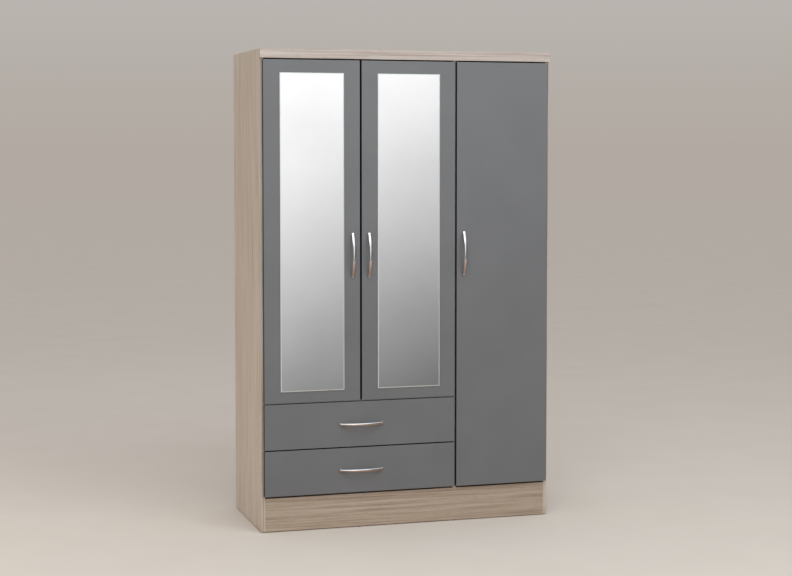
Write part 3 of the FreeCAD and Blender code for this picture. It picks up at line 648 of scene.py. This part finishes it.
def bend(vert, width, length, reach):
    """Move a point of a straight unit cylinder to its place on the bow."""
    across, share = pressed(max(-1.0, min(1.0, vert.co.x)), max(-1.0, min(1.0, vert.co.y)))
    along = vert.co.z
    inner = 0.0
    if abs(along) < length / 2 - FOOT_LENGTH:
        inner = max(arc_height(along, length / 2 - FOOT_LENGTH, reach - STRAP_THICK), 0.0)
    outer = FOOT_END + arc_height(along, length / 2, reach - FOOT_END)
    vert.co.x = across * width / 2
    vert.co.y = -(inner + share * (outer - inner))


# %% Build the handles
RIM_ROUND = 0.0006


def bow_handle(node):
    """A bow handle in a node's box, upright or lying, whichever the box is."""
    low, high = (Vector(corner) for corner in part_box(node))
    upright = high.z - low.z > high.x - low.x
    width, length = sorted((high.z - low.z, high.x - low.x))
    bm = bmesh.new()
    bmesh.ops.create_cone(bm, cap_ends=True, segments=SECTION_SIDES, radius1=1.0, radius2=1.0, depth=length)
    long_edges = [edge for edge in bm.edges if spread(edge, 2) > length / 2]
    bmesh.ops.subdivide_edges(bm, edges=long_edges, cuts=STRAP_STEPS, use_grid_fill=True)
    for vert in bm.verts:
        bend(vert, width, length, high.y - cad_box[0][1])
    rims = [edge for edge in bm.edges if all(abs(vert.co.z) > length / 2 - MERGE for vert in edge.verts)]
    round_edges(bm, rims, RIM_ROUND)
    if not upright:
        turn = Matrix.Rotation(math.pi / 2, 3, "Y")
        bmesh.ops.rotate(bm, cent=(0, 0, 0), matrix=turn, verts=bm.verts)
    bmesh.ops.translate(bm, vec=((low.x + high.x) / 2, high.y, (low.z + high.z) / 2), verts=bm.verts)
    return stand_in(bm, node, "_bow", [CHROME], all_smooth=True)


handles = [bow_handle(node) for node in BODY_OF if node.endswith("_handle")]
print("handles:", [handle.name for handle in handles])

# %% [markdown]
# ## Screw heads
#
# Furniture is full of small cross-head screws, and they all look alike: a low domed disc with a cross
# pressed into it. One function makes any number of them in a single piece. All the crosses are collected in
# a second mesh and cut out in one go, which is much faster than cutting them one by one.

# %% Helper: a set of cross-head screws
CROSS_WIDTH = 0.22
CROSS_LENGTH = 1.1
CROSS_DEPTH = 0.0008
CROSS_TRIM = 0.999
HEAD_SIDES = 24
HEAD_ROUND = 0.45
TO_BACK, DOWN = (0, 1, 0), (0, 0, -1)


def screw_heads(name, spots, body, finish, replaced=()):
    """Cross-head screws from (foot of the head, way it faces, radius, height) rows."""
    bm, tool = bmesh.new(), bmesh.new()
    for foot, facing, radius, height in spots:
        foot, facing = Vector(foot), Vector(facing)
        top = foot + facing * height
        add_round(bm, foot, top, radius, HEAD_SIDES, edge=min(height, radius) * HEAD_ROUND)
        turn = Matrix.Translation(top) @ Vector((0, 0, 1)).rotation_difference(facing).to_matrix().to_4x4()
        long, wide = radius * CROSS_LENGTH / 2, radius * CROSS_WIDTH / 2
        for half_x, half_y in ((long, wide), (wide, long * CROSS_TRIM)):
            verts = add_block(tool, (-half_x, -half_y, -CROSS_DEPTH), (half_x, half_y, CROSS_DEPTH))
            bmesh.ops.transform(tool, matrix=turn, verts=verts)
    return make_piece(cut_with(bm, tool), name, [finish], body, replaced)


cam_spots = [((middle.x, middle.y, high.z - CLEARANCE), DOWN, (high.x - low.x) / 2,
              high.z - low.z - 2 * CLEARANCE) for low, high, middle in CAMS]
screw_heads("cam_lock_faces", cam_spots, "carcass", ZINC, ["cam_locks"])
door_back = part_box("left_door_panel")[1][1]
for owner in ("left_door", "middle_door", "right_door", "lower_drawer", "upper_drawer"):
    node = owner + "_handle_screws"
    spots = [((middle.x, door_back, middle.z), TO_BACK, (high.x - low.x) / 2, high.y - door_back)
             for low, high, middle in fittings(node)]
    screw_heads(node + "_heads", spots, owner, ZINC, [node])
print(len(cam_spots), "cam faces and 10 handle screws")

# %% [markdown]
# ## Concealed hinges: the cups
#
# The door half of a concealed hinge is a pressed steel cup with two ears that are screwed to the door's
# back. A cup is a turned shape, so it starts as a thin profile that is spun once around its axis. The ear
# is a rounded plate with a hole where the cup goes through.

# %% Build the hinge cups
CUP_WALL = 0.001
EAR_ROUND = 0.004
EAR_SHIFT = 0.125
EAR_WIDTH = 0.016
EAR_THICK = 0.0012
CUP_SCREW_INSET = 0.0055
CUP_SCREW = (0.0035, 0.0007)


def add_cup(bm, low, high, back):
    """A round pressed cup, spun from a profile of its outside and inside."""
    middle = (low + high) / 2
    radius, depth = (high.x - low.x) / 2, back - low.y
    inside = radius - CUP_WALL
    outline = [(0, -depth), (radius - CUP_WALL, -depth), (radius, CUP_WALL - depth), (radius, EAR_THICK),
               (inside, EAR_THICK), (inside, 2 * CUP_WALL - depth), (inside - CUP_WALL, CUP_WALL - depth),
               (0, CUP_WALL - depth)]
    verts = [bm.verts.new((middle.x + across, back + out, middle.z)) for across, out in outline]
    edges = [bm.edges.new(pair) for pair in zip(verts, verts[1:])]
    bmesh.ops.spin(bm, geom=verts + edges, cent=(middle.x, back, middle.z), axis=(0, 1, 0),
                   angle=2 * math.pi, steps=CUP_SIDES, use_merge=True)
    return inside


def hinge_cups(door):
    node = door + "_hinge_cups"
    sign = -1 if door == "left_door" else 1
    bm, ears, tool, spots = bmesh.new(), bmesh.new(), bmesh.new(), []
    for low, high, middle in fittings(node):
        inside = add_cup(bm, low, high, door_back)
        ear_x = middle.x - sign * EAR_WIDTH * EAR_SHIFT
        verts = add_block(ears, (ear_x - EAR_WIDTH / 2, door_back, low.z),
                          (ear_x + EAR_WIDTH / 2, high.y, high.z))
        round_edges(ears, [edge for edge in edges_of(verts) if spread(edge, 1) > MERGE], EAR_ROUND, 4)
        add_round(tool, (middle.x, door_back - PROUD, middle.z), (middle.x, high.y + PROUD, middle.z),
                  inside, CUP_SIDES)
        spots += [((ear_x, high.y, z), TO_BACK, *CUP_SCREW)
                  for z in (low.z + CUP_SCREW_INSET, high.z - CUP_SCREW_INSET)]
    pour(cut_with(ears, tool), bm)
    screw_heads(door + "_cup_screws", spots, door, ZINC)
    return stand_in(bm, node, "_pressed", [NICKEL])


cups = [hinge_cups(side + "_door") for side in ("left", "middle", "right")]
print("hinge cups:", [cup.name for cup in cups])

# %% [markdown]
# ## Concealed hinges: the arms
#
# The carcass half is a plate screwed to the side, with a folded steel arm clipped over it. The arm is a
# channel: a block whose long edges are rounded, opened on the side that faces the panel, and given a wall
# with the solidify operator. Two adjusting screws stand on each arm and two more hold each plate.

# %% Build the hinge arms and plates
ARM_ROUND = 0.0025
ARM_WALL = 0.0012
PLATE_ROUND = 0.003
ARM_SCREWS = (0.016, 0.040)
PLATE_SCREW_INSET = 0.006
ARM_SCREW = (0.0032, 0.0008)
PLATE_SCREW = (0.004, 0.0009)


def channel(bm, low, high, open_x):
    """A folded channel that is open towards one side in X."""
    part = bmesh.new()
    verts = add_block(part, low, high)
    shut_x = low.x if open_x > low.x + MERGE else high.x
    folds = [edge for edge in edges_of(verts) if spread(edge, 1) > MERGE
             and all(abs(vert.co.x - shut_x) < MERGE for vert in edge.verts)]
    round_edges(part, folds, ARM_ROUND, 4)
    part.normal_update()
    away = 1 if open_x > shut_x else -1
    gone = [face for face in part.faces
            if face.normal.x * away > SQUARE_ON or abs(face.normal.y) > SQUARE_ON]
    bmesh.ops.delete(part, geom=gone, context="FACES")
    bmesh.ops.recalc_face_normals(part, faces=part.faces)
    centre = (low + high) / 2
    if sum((face.calc_center_median() - centre).dot(face.normal) for face in part.faces) < 0:
        bmesh.ops.reverse_faces(part, faces=part.faces)
    bmesh.ops.solidify(part, geom=part.faces[:], thickness=ARM_WALL)
    pour(part, bm)


PLATES = fittings("hinge_plates")
arms, arm_spots = bmesh.new(), []
for low, high, middle in fittings("hinge_arms"):
    plate_low, plate_high, plate = min(PLATES, key=lambda row: (row[2] - middle).length)
    channel(arms, low, high, plate.x)
    facing = 1 if middle.x > plate.x else -1
    top = high.x if facing > 0 else low.x
    arm_spots += [((top, low.y + along, middle.z), (facing, 0, 0), *ARM_SCREW) for along in ARM_SCREWS]
    plate_top = plate_high.x if facing > 0 else plate_low.x
    arm_spots += [((plate_top, plate.y, z), (facing, 0, 0), *PLATE_SCREW)
                  for z in (plate_low.z + PLATE_SCREW_INSET, plate_high.z - PLATE_SCREW_INSET)]
make_piece(arms, "hinge_arm_channels", [NICKEL], "carcass", ["hinge_arms"])
plates = bmesh.new()
for low, high, _ in PLATES:
    verts = add_block(plates, low, high)
    round_edges(plates, [edge for edge in edges_of(verts) if spread(edge, 0) > MERGE], PLATE_ROUND, 4)
make_piece(plates, "hinge_plates_cast", [NICKEL], "carcass", ["hinge_plates"])
screw_heads("hinge_screws", arm_spots, "carcass", ZINC)
print(len(PLATES), "hinge arms,", len(arm_spots), "screws")

# %% [markdown]
# ## Pins, rollers and glides
#
# These are all short turned parts. The design has them as cylinders already, but with many narrow facets. A
# rebuilt cylinder can have a rounded rim and smooth shading. The longest side that differs from the other
# two is its axis.

# %% Build the turned parts
TURNED_SIDES = 40
TURNED = {
    "shelf_pins": (ZINC, 0.0008), "floor_glides": (GLIDE_NYLON, 0.001), "cabinet_rollers": (NYLON, 0.0012),
    "lower_drawer_rollers": (NYLON, 0.0012), "upper_drawer_rollers": (NYLON, 0.0012),
}


def turned_parts(node, finish, rim):
    """Round parts, each made of two halves that meet at its middle, so that both ends get a rounded rim."""
    bm = bmesh.new()
    parts = fittings(node)
    for low, high, middle in parts:
        size = high - low
        axis = min(range(3), key=lambda index: abs(size[index - 1] - size[index - 2]))
        start, end = middle.copy(), middle.copy()
        start[axis], end[axis] = low[axis], high[axis]
        radius = size[axis - 1] / 2
        add_round(bm, middle, start, radius, TURNED_SIDES, edge=rim)
        add_round(bm, middle, end, radius, TURNED_SIDES, edge=rim)
    middle_faces = [face for face in bm.faces if len(face.verts) == TURNED_SIDES
                    and any((face.calc_center_median() - row[2]).length < MERGE for row in parts)]
    bmesh.ops.delete(bm, geom=middle_faces, context="FACES_ONLY")
    return stand_in(bm, node, "_turned", [finish])


turned = [turned_parts(node, finish, rim) for node, (finish, rim) in TURNED.items()]
print("turned parts:", [piece.name for piece in turned])

# %% [markdown]
# ## Hanging rails
#
# A wardrobe rail is an oval steel tube: two half circles joined by straight sides. We take a circle, pull
# its upper half up and its lower half down, and extrude it along the rail. The end sockets are the same
# oval, larger and shorter, with a rounded rim.

# %% Build the rails and sockets
OVAL_SIDES = 48
SOCKET_RIM = 0.002


def add_oval(bm, low, high, rim=0.0):
    """An oval bar along X that fills a box, with both end rims rounded."""
    radius = (high.y - low.y) / 2
    straight = (high.z - low.z) / 2 - radius
    part = bmesh.new()
    made = bmesh.ops.create_circle(part, cap_ends=True, segments=OVAL_SIDES, radius=radius,
                                   matrix=Matrix.Rotation(math.pi / 2, 4, "Y"))
    for vert in made["verts"]:
        vert.co.z += math.copysign(straight, vert.co.z + MERGE)
    grown = bmesh.ops.extrude_face_region(part, geom=part.faces[:])["geom"]
    moved = [item for item in grown if isinstance(item, bmesh.types.BMVert)]
    bmesh.ops.translate(part, vec=(high.x - low.x, 0, 0), verts=moved)
    if rim:
        round_edges(part, [edge for edge in part.edges if spread(edge, 0) < MERGE], rim, 3)
    bmesh.ops.translate(part, vec=(low.x, (low.y + high.y) / 2, (low.z + high.z) / 2), verts=part.verts)
    pour(part, bm)


for side in ("left", "right"):
    node = side + "_hanging_rail"
    tube = bmesh.new()
    add_oval(tube, *(Vector(corner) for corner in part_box(node)))
    stand_in(tube, node, "_tube", [CHROME], all_smooth=True)
sockets = bmesh.new()
for low, high, _ in fittings("rail_sockets"):
    add_oval(sockets, low, high, SOCKET_RIM)
make_piece(sockets, "rail_socket_cups", [NICKEL], "carcass", ["rail_sockets"],
           all_smooth=True)
print("rails and", len(fittings("rail_sockets")), "sockets")

# %% [markdown]
# ## Back sheets and drawer bases
#
# The back is three thin hardboard sheets. One side is painted and the other is raw fibre, so each sheet
# needs two materials, chosen by which way a face looks. Drawer bases are the same sheet lying flat. The two
# outer back sheets have a hole for the screw that ties the wardrobe to the wall, at the brackets' middle.

# %% Build the sheets
SHEET_ROUND = 0.0003
HOLE_RADIUS = 0.00275
HOLE_DROP = 0.018
TO_ROOM = -0.5


def hardboard(node, raw_axis, raw_sign, holes=()):
    """A thin sheet: raw on its edges and on the side that looks along an axis, painted on the other."""
    bm, low, high = node_block(node, SHEET_ROUND, 1)
    if holes:
        tool = bmesh.new()
        for x, z in holes:
            add_round(tool, (x, low.y - PROUD, z), (x, high.y + PROUD, z), HOLE_RADIUS, HEAD_SIDES)
        bm = cut_with(bm, tool)
    for face in bm.faces:
        face.material_index = 1 if face.normal[raw_axis] * raw_sign > TO_ROOM else 0
    return stand_in(bm, node, "_sheet", [PALE_PAINT, RAW_FIBRE])


BRACKETS = fittings("wall_brackets")
for node in ("back_panel_left", "back_panel_middle", "back_panel_right"):
    low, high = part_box(node)
    holes = [(middle.x, top.z - HOLE_DROP) for _, top, middle in BRACKETS
             if low[0] < middle.x < high[0]]
    hardboard(node, 1, 1, holes)
for level in ("lower", "upper"):
    hardboard(level + "_drawer_base", 2, -1)
print("wall brackets:", len(BRACKETS))

# %% [markdown]
# ## Drawer boxes
#
# Behind each grey front is a box of thin foiled board with the base let into it. The boards are rounded
# like the carcass, with the grain along each board.

# %% Build the drawer boxes
for level in ("lower", "upper"):
    for part, grain in (("left_side", "Y"), ("right_side", "Y"), ("back", "X")):
        node = f"{level}_drawer_{part}"
        board, _, _ = node_block(node, EDGE_ROUND)
        made = stand_in(board, node, "_foil", [OAK[grain]])
        print(made.name)

# %% [markdown]
# ## The joint strip and the nails
#
# A white plastic strip hides the joint between two back sheets. Rows of short nails with domed heads hold
# the sheets to the edges of the boards. They stand less than a millimetre proud, so they fit inside the
# same outline as the strip.

# %% Build the strip and the nails
STRIP_PROUD = 0.0009
NAIL_RADIUS = 0.0022
NAIL_HEIGHT = 0.0007
NAIL_STEP = 0.14
NAIL_SIDES = 12
NAIL_END = 0.07
NAIL_PAIR = 0.004
PRESSED_ROUND = 0.6

low, high = (Vector(corner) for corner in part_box("back_joint_strip"))
strip = bmesh.new()
add_block(strip, (low.x, high.y - STRIP_PROUD, low.z), high)
strip_edges = [edge for edge in strip.edges if spread(edge, 2) > PROUD
               and edge.verts[0].co.y > high.y - MERGE]
round_edges(strip, strip_edges, STRIP_PROUD * PRESSED_ROUND, 3)
make_piece(strip, "back_joint_strip_cover", [NYLON], "carcass", ["back_joint_strip"])

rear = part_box("back_panel_left")[1][1]


def row_of(start, end):
    """Places about a nail's step apart, from one end to the other."""
    count = max(2, round(abs(end - start) / NAIL_STEP) + 1)
    return [start + (end - start) * index / (count - 1) for index in range(count)]


def board_middle(node, axis):
    """The middle of a board along X, Y or Z, as 0, 1 or 2."""
    low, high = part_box(node)
    return (low[axis] + high[axis]) / 2


edge_low, edge_high = board_middle("left_side_panel", 0), board_middle("right_side_panel", 0)
divide = board_middle("centre_divider", 0)
foot, head = board_middle("bottom_panel", 2), board_middle("top_panel", 2)
deck = board_middle("drawer_deck", 2)
nail_spots = {(x, z) for x in (edge_low, edge_high) for z in row_of(foot, head)}
nail_spots |= {(divide + shift, z) for shift in (-NAIL_PAIR, NAIL_PAIR)
               for z in row_of(foot + NAIL_END, head - NAIL_END)}
nail_spots |= {(x, z) for z in (foot, head) for x in row_of(edge_low + NAIL_END, edge_high - NAIL_END)}
nail_spots |= {(x, deck) for x in row_of(edge_low + NAIL_END, divide - NAIL_END)}
strip_low, strip_high = low.x - NAIL_RADIUS, high.x + NAIL_RADIUS
clear_spots = sorted(spot for spot in nail_spots if not strip_low < spot[0] < strip_high)
nails = bmesh.new()
for x, z in clear_spots:
    add_round(nails, (x, rear, z), (x, rear + NAIL_HEIGHT, z), NAIL_RADIUS, NAIL_SIDES,
              edge=NAIL_HEIGHT * PRESSED_ROUND)
make_piece(nails, "back_nails", [ZINC], "carcass", all_smooth=True)
print(len(clear_spots), "nails")

# %% [markdown]
# ## Door bumpers
#
# The doors close against small clear dots, one millimetre thick, that keep the gloss foil off the carcass
# edges. Each sits on the back of a door or drawer front where it overlaps a board.

# %% Build the bumpers
BUMPER_RADIUS = 0.0022
BUMPER_RIM = 0.0005
BUMPER_SIDES = 20
OVERLAP = 0.0028
SHORT_DOORS = {"left": (1, (-0.05, -0.3)), "middle": (0, (0.05, 0.3))}
TALL_DOOR_END = 0.06
DRAWER_END = 0.03
carcass_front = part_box("left_side_panel")[0][1]


def bumpers(body, spots):
    """Clear dots on the back of a door or drawer front, at (x, z) places."""
    bm = bmesh.new()
    for x, z in spots:
        add_round(bm, (x, door_back, z), (x, carcass_front, z), BUMPER_RADIUS, BUMPER_SIDES, edge=BUMPER_RIM)
    return make_piece(bm, body + "_bumpers", [BUMPER_GEL], body, all_smooth=True)


for side, (meeting, shifts) in SHORT_DOORS.items():
    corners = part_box(side + "_door_panel")
    foot = corners[0][2] + OVERLAP
    bumpers(side + "_door", [(corners[meeting][0] + shift, foot) for shift in shifts])
low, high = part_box("right_door_panel")
bumpers("right_door", [(low[0] + OVERLAP, z) for z in (low[2] + TALL_DOOR_END, high[2] - TALL_DOOR_END)])
for level in ("lower", "upper"):
    low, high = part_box(level + "_drawer_front")
    bumpers(level + "_drawer", [(x, z) for x in (low[0] + OVERLAP, high[0] - OVERLAP)
                                for z in (low[2] + DRAWER_END, high[2] - DRAWER_END)])
print("bumpers from", round(door_back, 4), "to", round(carcass_front, 4))

# %% [markdown]
# ## The stage
#
# The wardrobe stands on a plain pale floor under soft studio light. The floor isn't part of the object. The
# world is a dome that is brighter overhead than at the horizon, which fills the shadows and makes the floor
# melt into the background. Two soft lamps in front add form, one overhead lifts the upper half, and a small
# warm one picks out the left side.

# %% Floor and world
FLOOR_SIZE = (80, 80)
DOME_TONES = [(0.0, screen(196, 187, 179)), (0.12, screen(208, 204, 199)), (0.6, screen(238, 240, 244))]
DOME_STRENGTH = 0.8


def stage_plane(name, size, place, finish, upright=False):
    """A flat rectangle, lying or upright, that isn't part of the object."""
    bm = bmesh.new()
    bmesh.ops.create_grid(bm, x_segments=1, y_segments=1, size=0.5)
    bmesh.ops.scale(bm, vec=(size[0], size[1], 1), verts=bm.verts)
    if upright:
        turn = Matrix.Rotation(math.pi / 2, 3, "X")
        bmesh.ops.rotate(bm, cent=(0, 0, 0), matrix=turn, verts=bm.verts)
    bmesh.ops.translate(bm, vec=place, verts=bm.verts)
    plane = in_scene(name, as_mesh(bm, name))
    plane.data.materials.append(finish)
    return plane


FLOOR = matt_finish("pale_floor", screen(212, 202, 191), screen(215, 205, 194), 3.0, 0.5, 0.0)
FLOOR.node_tree.nodes["Principled BSDF"].inputs["Specular IOR Level"].default_value = 0.0
stage_plane("floor", FLOOR_SIZE, (0, 0, 0), FLOOR)

world = bpy.data.worlds.new("studio")
bpy.context.scene.world = world
world.use_nodes = True
sky = world.node_tree
direction = add_node(sky, "TexCoord").outputs["Generated"]
height = add_node(sky, "SeparateXYZ", {"Vector": direction}).outputs["Z"]
sky.links.new(ramp(sky, height, DOME_TONES), sky.nodes["Background"].inputs["Color"])
sky.nodes["Background"].inputs["Strength"].default_value = DOME_STRENGTH

# %% Lamps
def soft_lamp(name, place, target, size, power, colour):
    """A rectangular lamp that looks at a target and doesn't show in reflections."""
    data = bpy.data.lights.new(name, "AREA")
    data.shape = "RECTANGLE"
    data.size, data.size_y = size
    data.energy = power
    data.color = colour
    lamp = in_scene(name, data)
    lamp.location = place
    lamp.rotation_euler = (Vector(target) - Vector(place)).to_track_quat("-Z", "Y").to_euler()
    lamp.visible_glossy = False


# Each lamp: where it stands, where it looks, its size, its watts and its colour.
LAMPS = {
    "overhead_lamp": ((0.0, -2.6, 4.2), (0, 0, 1.6), (3.2, 1.8), 71, (0.8, 0.92, 1.0)),
    "key_lamp": ((-2.6, -5.2, 2.2), (0, 0, 0.9), (2.4, 2.4), 52, (1.0, 0.98, 0.95)),
    "fill_lamp": ((3.4, -4.4, 1.8), (0.3, 0, 0.9), (2.4, 2.4), 46, (1.0, 0.99, 0.98)),
    "warm_side_lamp": ((-4.2, -0.6, 1.0), (-0.6, 0, 0.9), (1.8, 1.8), 30, (1.0, 0.84, 0.68)),
}
for name, settings in LAMPS.items():
    soft_lamp(name, *settings)
print("lamps:", list(LAMPS))

# %% [markdown]
# ## What the mirrors see
#
# A mirror shows the room in front of it, so the room needs designing too. A wide card stands where the
# mirrors look. It is white high up and darker low down and to the right. Low down it also falls softly to
# near black at both sides, because polished metal only looks like metal when it has something dark to
# reflect. A second card lies on the floor and gives the undersides of the handles a warm wood tone that
# fades out. Only reflections can see the cards: they give no light, throw no shadow and are invisible to
# the camera. The card's tones change softly, so no hard edge shows in the mirrors from the front.

# %% Cards for the reflections
CARD_PLANE = -3.2
CARD_SIZE = (24.0, 6.5)
CARD_LEAN = -0.45
CARD_LOW, CARD_HIGH = -2.6, 4.6
CARD_STRENGTH = 1.9
CARD_TONES = [(0.0, 0.008), (0.16, 0.03), (0.306, 0.107), (0.374, 0.199), (0.439, 0.323), (0.504, 0.463),
              (0.568, 0.582), (0.597, 0.64), (1.0, 1.0)]
CARD_MIDDLE, CARD_FULL, CARD_DARK = 0.375, 0.95, 2.4
SPREAD_FROM, SPREAD = 2.0, 2.8
DARK_SHARE = 0.03
FLOOR_CARD_SIZE = (12.0, 3.1)
FLOOR_CARD_LIFT = 0.0005
WARM_EDGE = -0.4
WARM_NEAR = screen(150, 114, 87)
WARM_FAR = screen(200, 190, 179)


def glow_finish(name):
    """A finish that only glows, with its tree, its glow and the coordinates to choose a tone by."""
    finish, tree, _, place = new_finish(name)
    glow = add_node(tree, "Emission", {"Strength": 1.0})
    tree.links.new(glow.outputs[0], tree.nodes["Material Output"].inputs["Surface"])
    return finish, tree, glow, add_node(tree, "SeparateXYZ", {"Vector": place}).outputs


def maths(tree, operation, *values):
    """One sum of a shader: an operation on one or two values."""
    return add_node(tree, "Math", dict(enumerate(values)), operation=operation).outputs[0]


def reflection_only(card):
    card.visible_camera = False
    card.visible_diffuse = False
    card.visible_shadow = False
    card.visible_transmission = False


CARD, tree, glow, axes = glow_finish("graded_card")
level = maths(tree, "ADD", axes["Z"], maths(tree, "MULTIPLY", axes["X"], CARD_LEAN))
tones = [(position, (value, value, value, 1)) for position, value in CARD_TONES]
share = span(tree, level, start=CARD_LOW, end=CARD_HIGH)
feed(tree, glow.inputs["Color"], ramp(tree, share, tones))
aside = maths(tree, "ABSOLUTE", maths(tree, "SUBTRACT", axes["X"], CARD_MIDDLE))
above = maths(tree, "MAXIMUM", maths(tree, "SUBTRACT", axes["Z"], SPREAD_FROM), 0.0)
reach = maths(tree, "SUBTRACT", aside, maths(tree, "MULTIPLY", above, SPREAD))
fade = span(tree, reach, CARD_STRENGTH, CARD_STRENGTH * DARK_SHARE, CARD_FULL, CARD_DARK)
feed(tree, glow.inputs["Strength"], fade)
card_place = (0, CARD_PLANE, CARD_SIZE[1] / 2)
reflection_only(stage_plane("graded_card", CARD_SIZE, card_place, CARD, upright=True))

WARM, tree, glow, axes = glow_finish("warm_floor_card")
share = span(tree, axes["Y"], start=CARD_PLANE, end=WARM_EDGE)
feed(tree, glow.inputs["Color"], ramp(tree, share, [(0.0, WARM_FAR), (1.0, WARM_NEAR)]))
floor_card_place = (0, CARD_PLANE + FLOOR_CARD_SIZE[1] / 2, FLOOR_CARD_LIFT)
reflection_only(stage_plane("warm_floor_card", FLOOR_CARD_SIZE, floor_card_place, WARM))
print("reflection cards: 2")

# %% [markdown]
# ## The camera
#
# A long lens from about six metres keeps the wardrobe's sides nearly parallel, as in catalogue pictures.
# The camera stands left of the middle at eye height and looks slightly down. A small shift moves the
# picture without tilting the camera further. The Standard view keeps the chosen colours as they are.

# %% Camera
LENS_MM = 77.22
UPWARD_SHIFT = -0.0456
CAMERA_PLACE = (-1.9278, -6.4474, 1.4549)
TILT_DOWN, TURN_RIGHT = 3.5, 16.814

camera = in_scene("camera", bpy.data.cameras.new("camera"))
camera.data.lens = LENS_MM
camera.data.shift_y = UPWARD_SHIFT
camera.location = CAMERA_PLACE
camera.rotation_euler = (math.radians(90 - TILT_DOWN), 0, math.radians(-TURN_RIGHT))
bpy.context.scene.camera = camera
bpy.context.scene.view_settings.view_transform = "Standard"
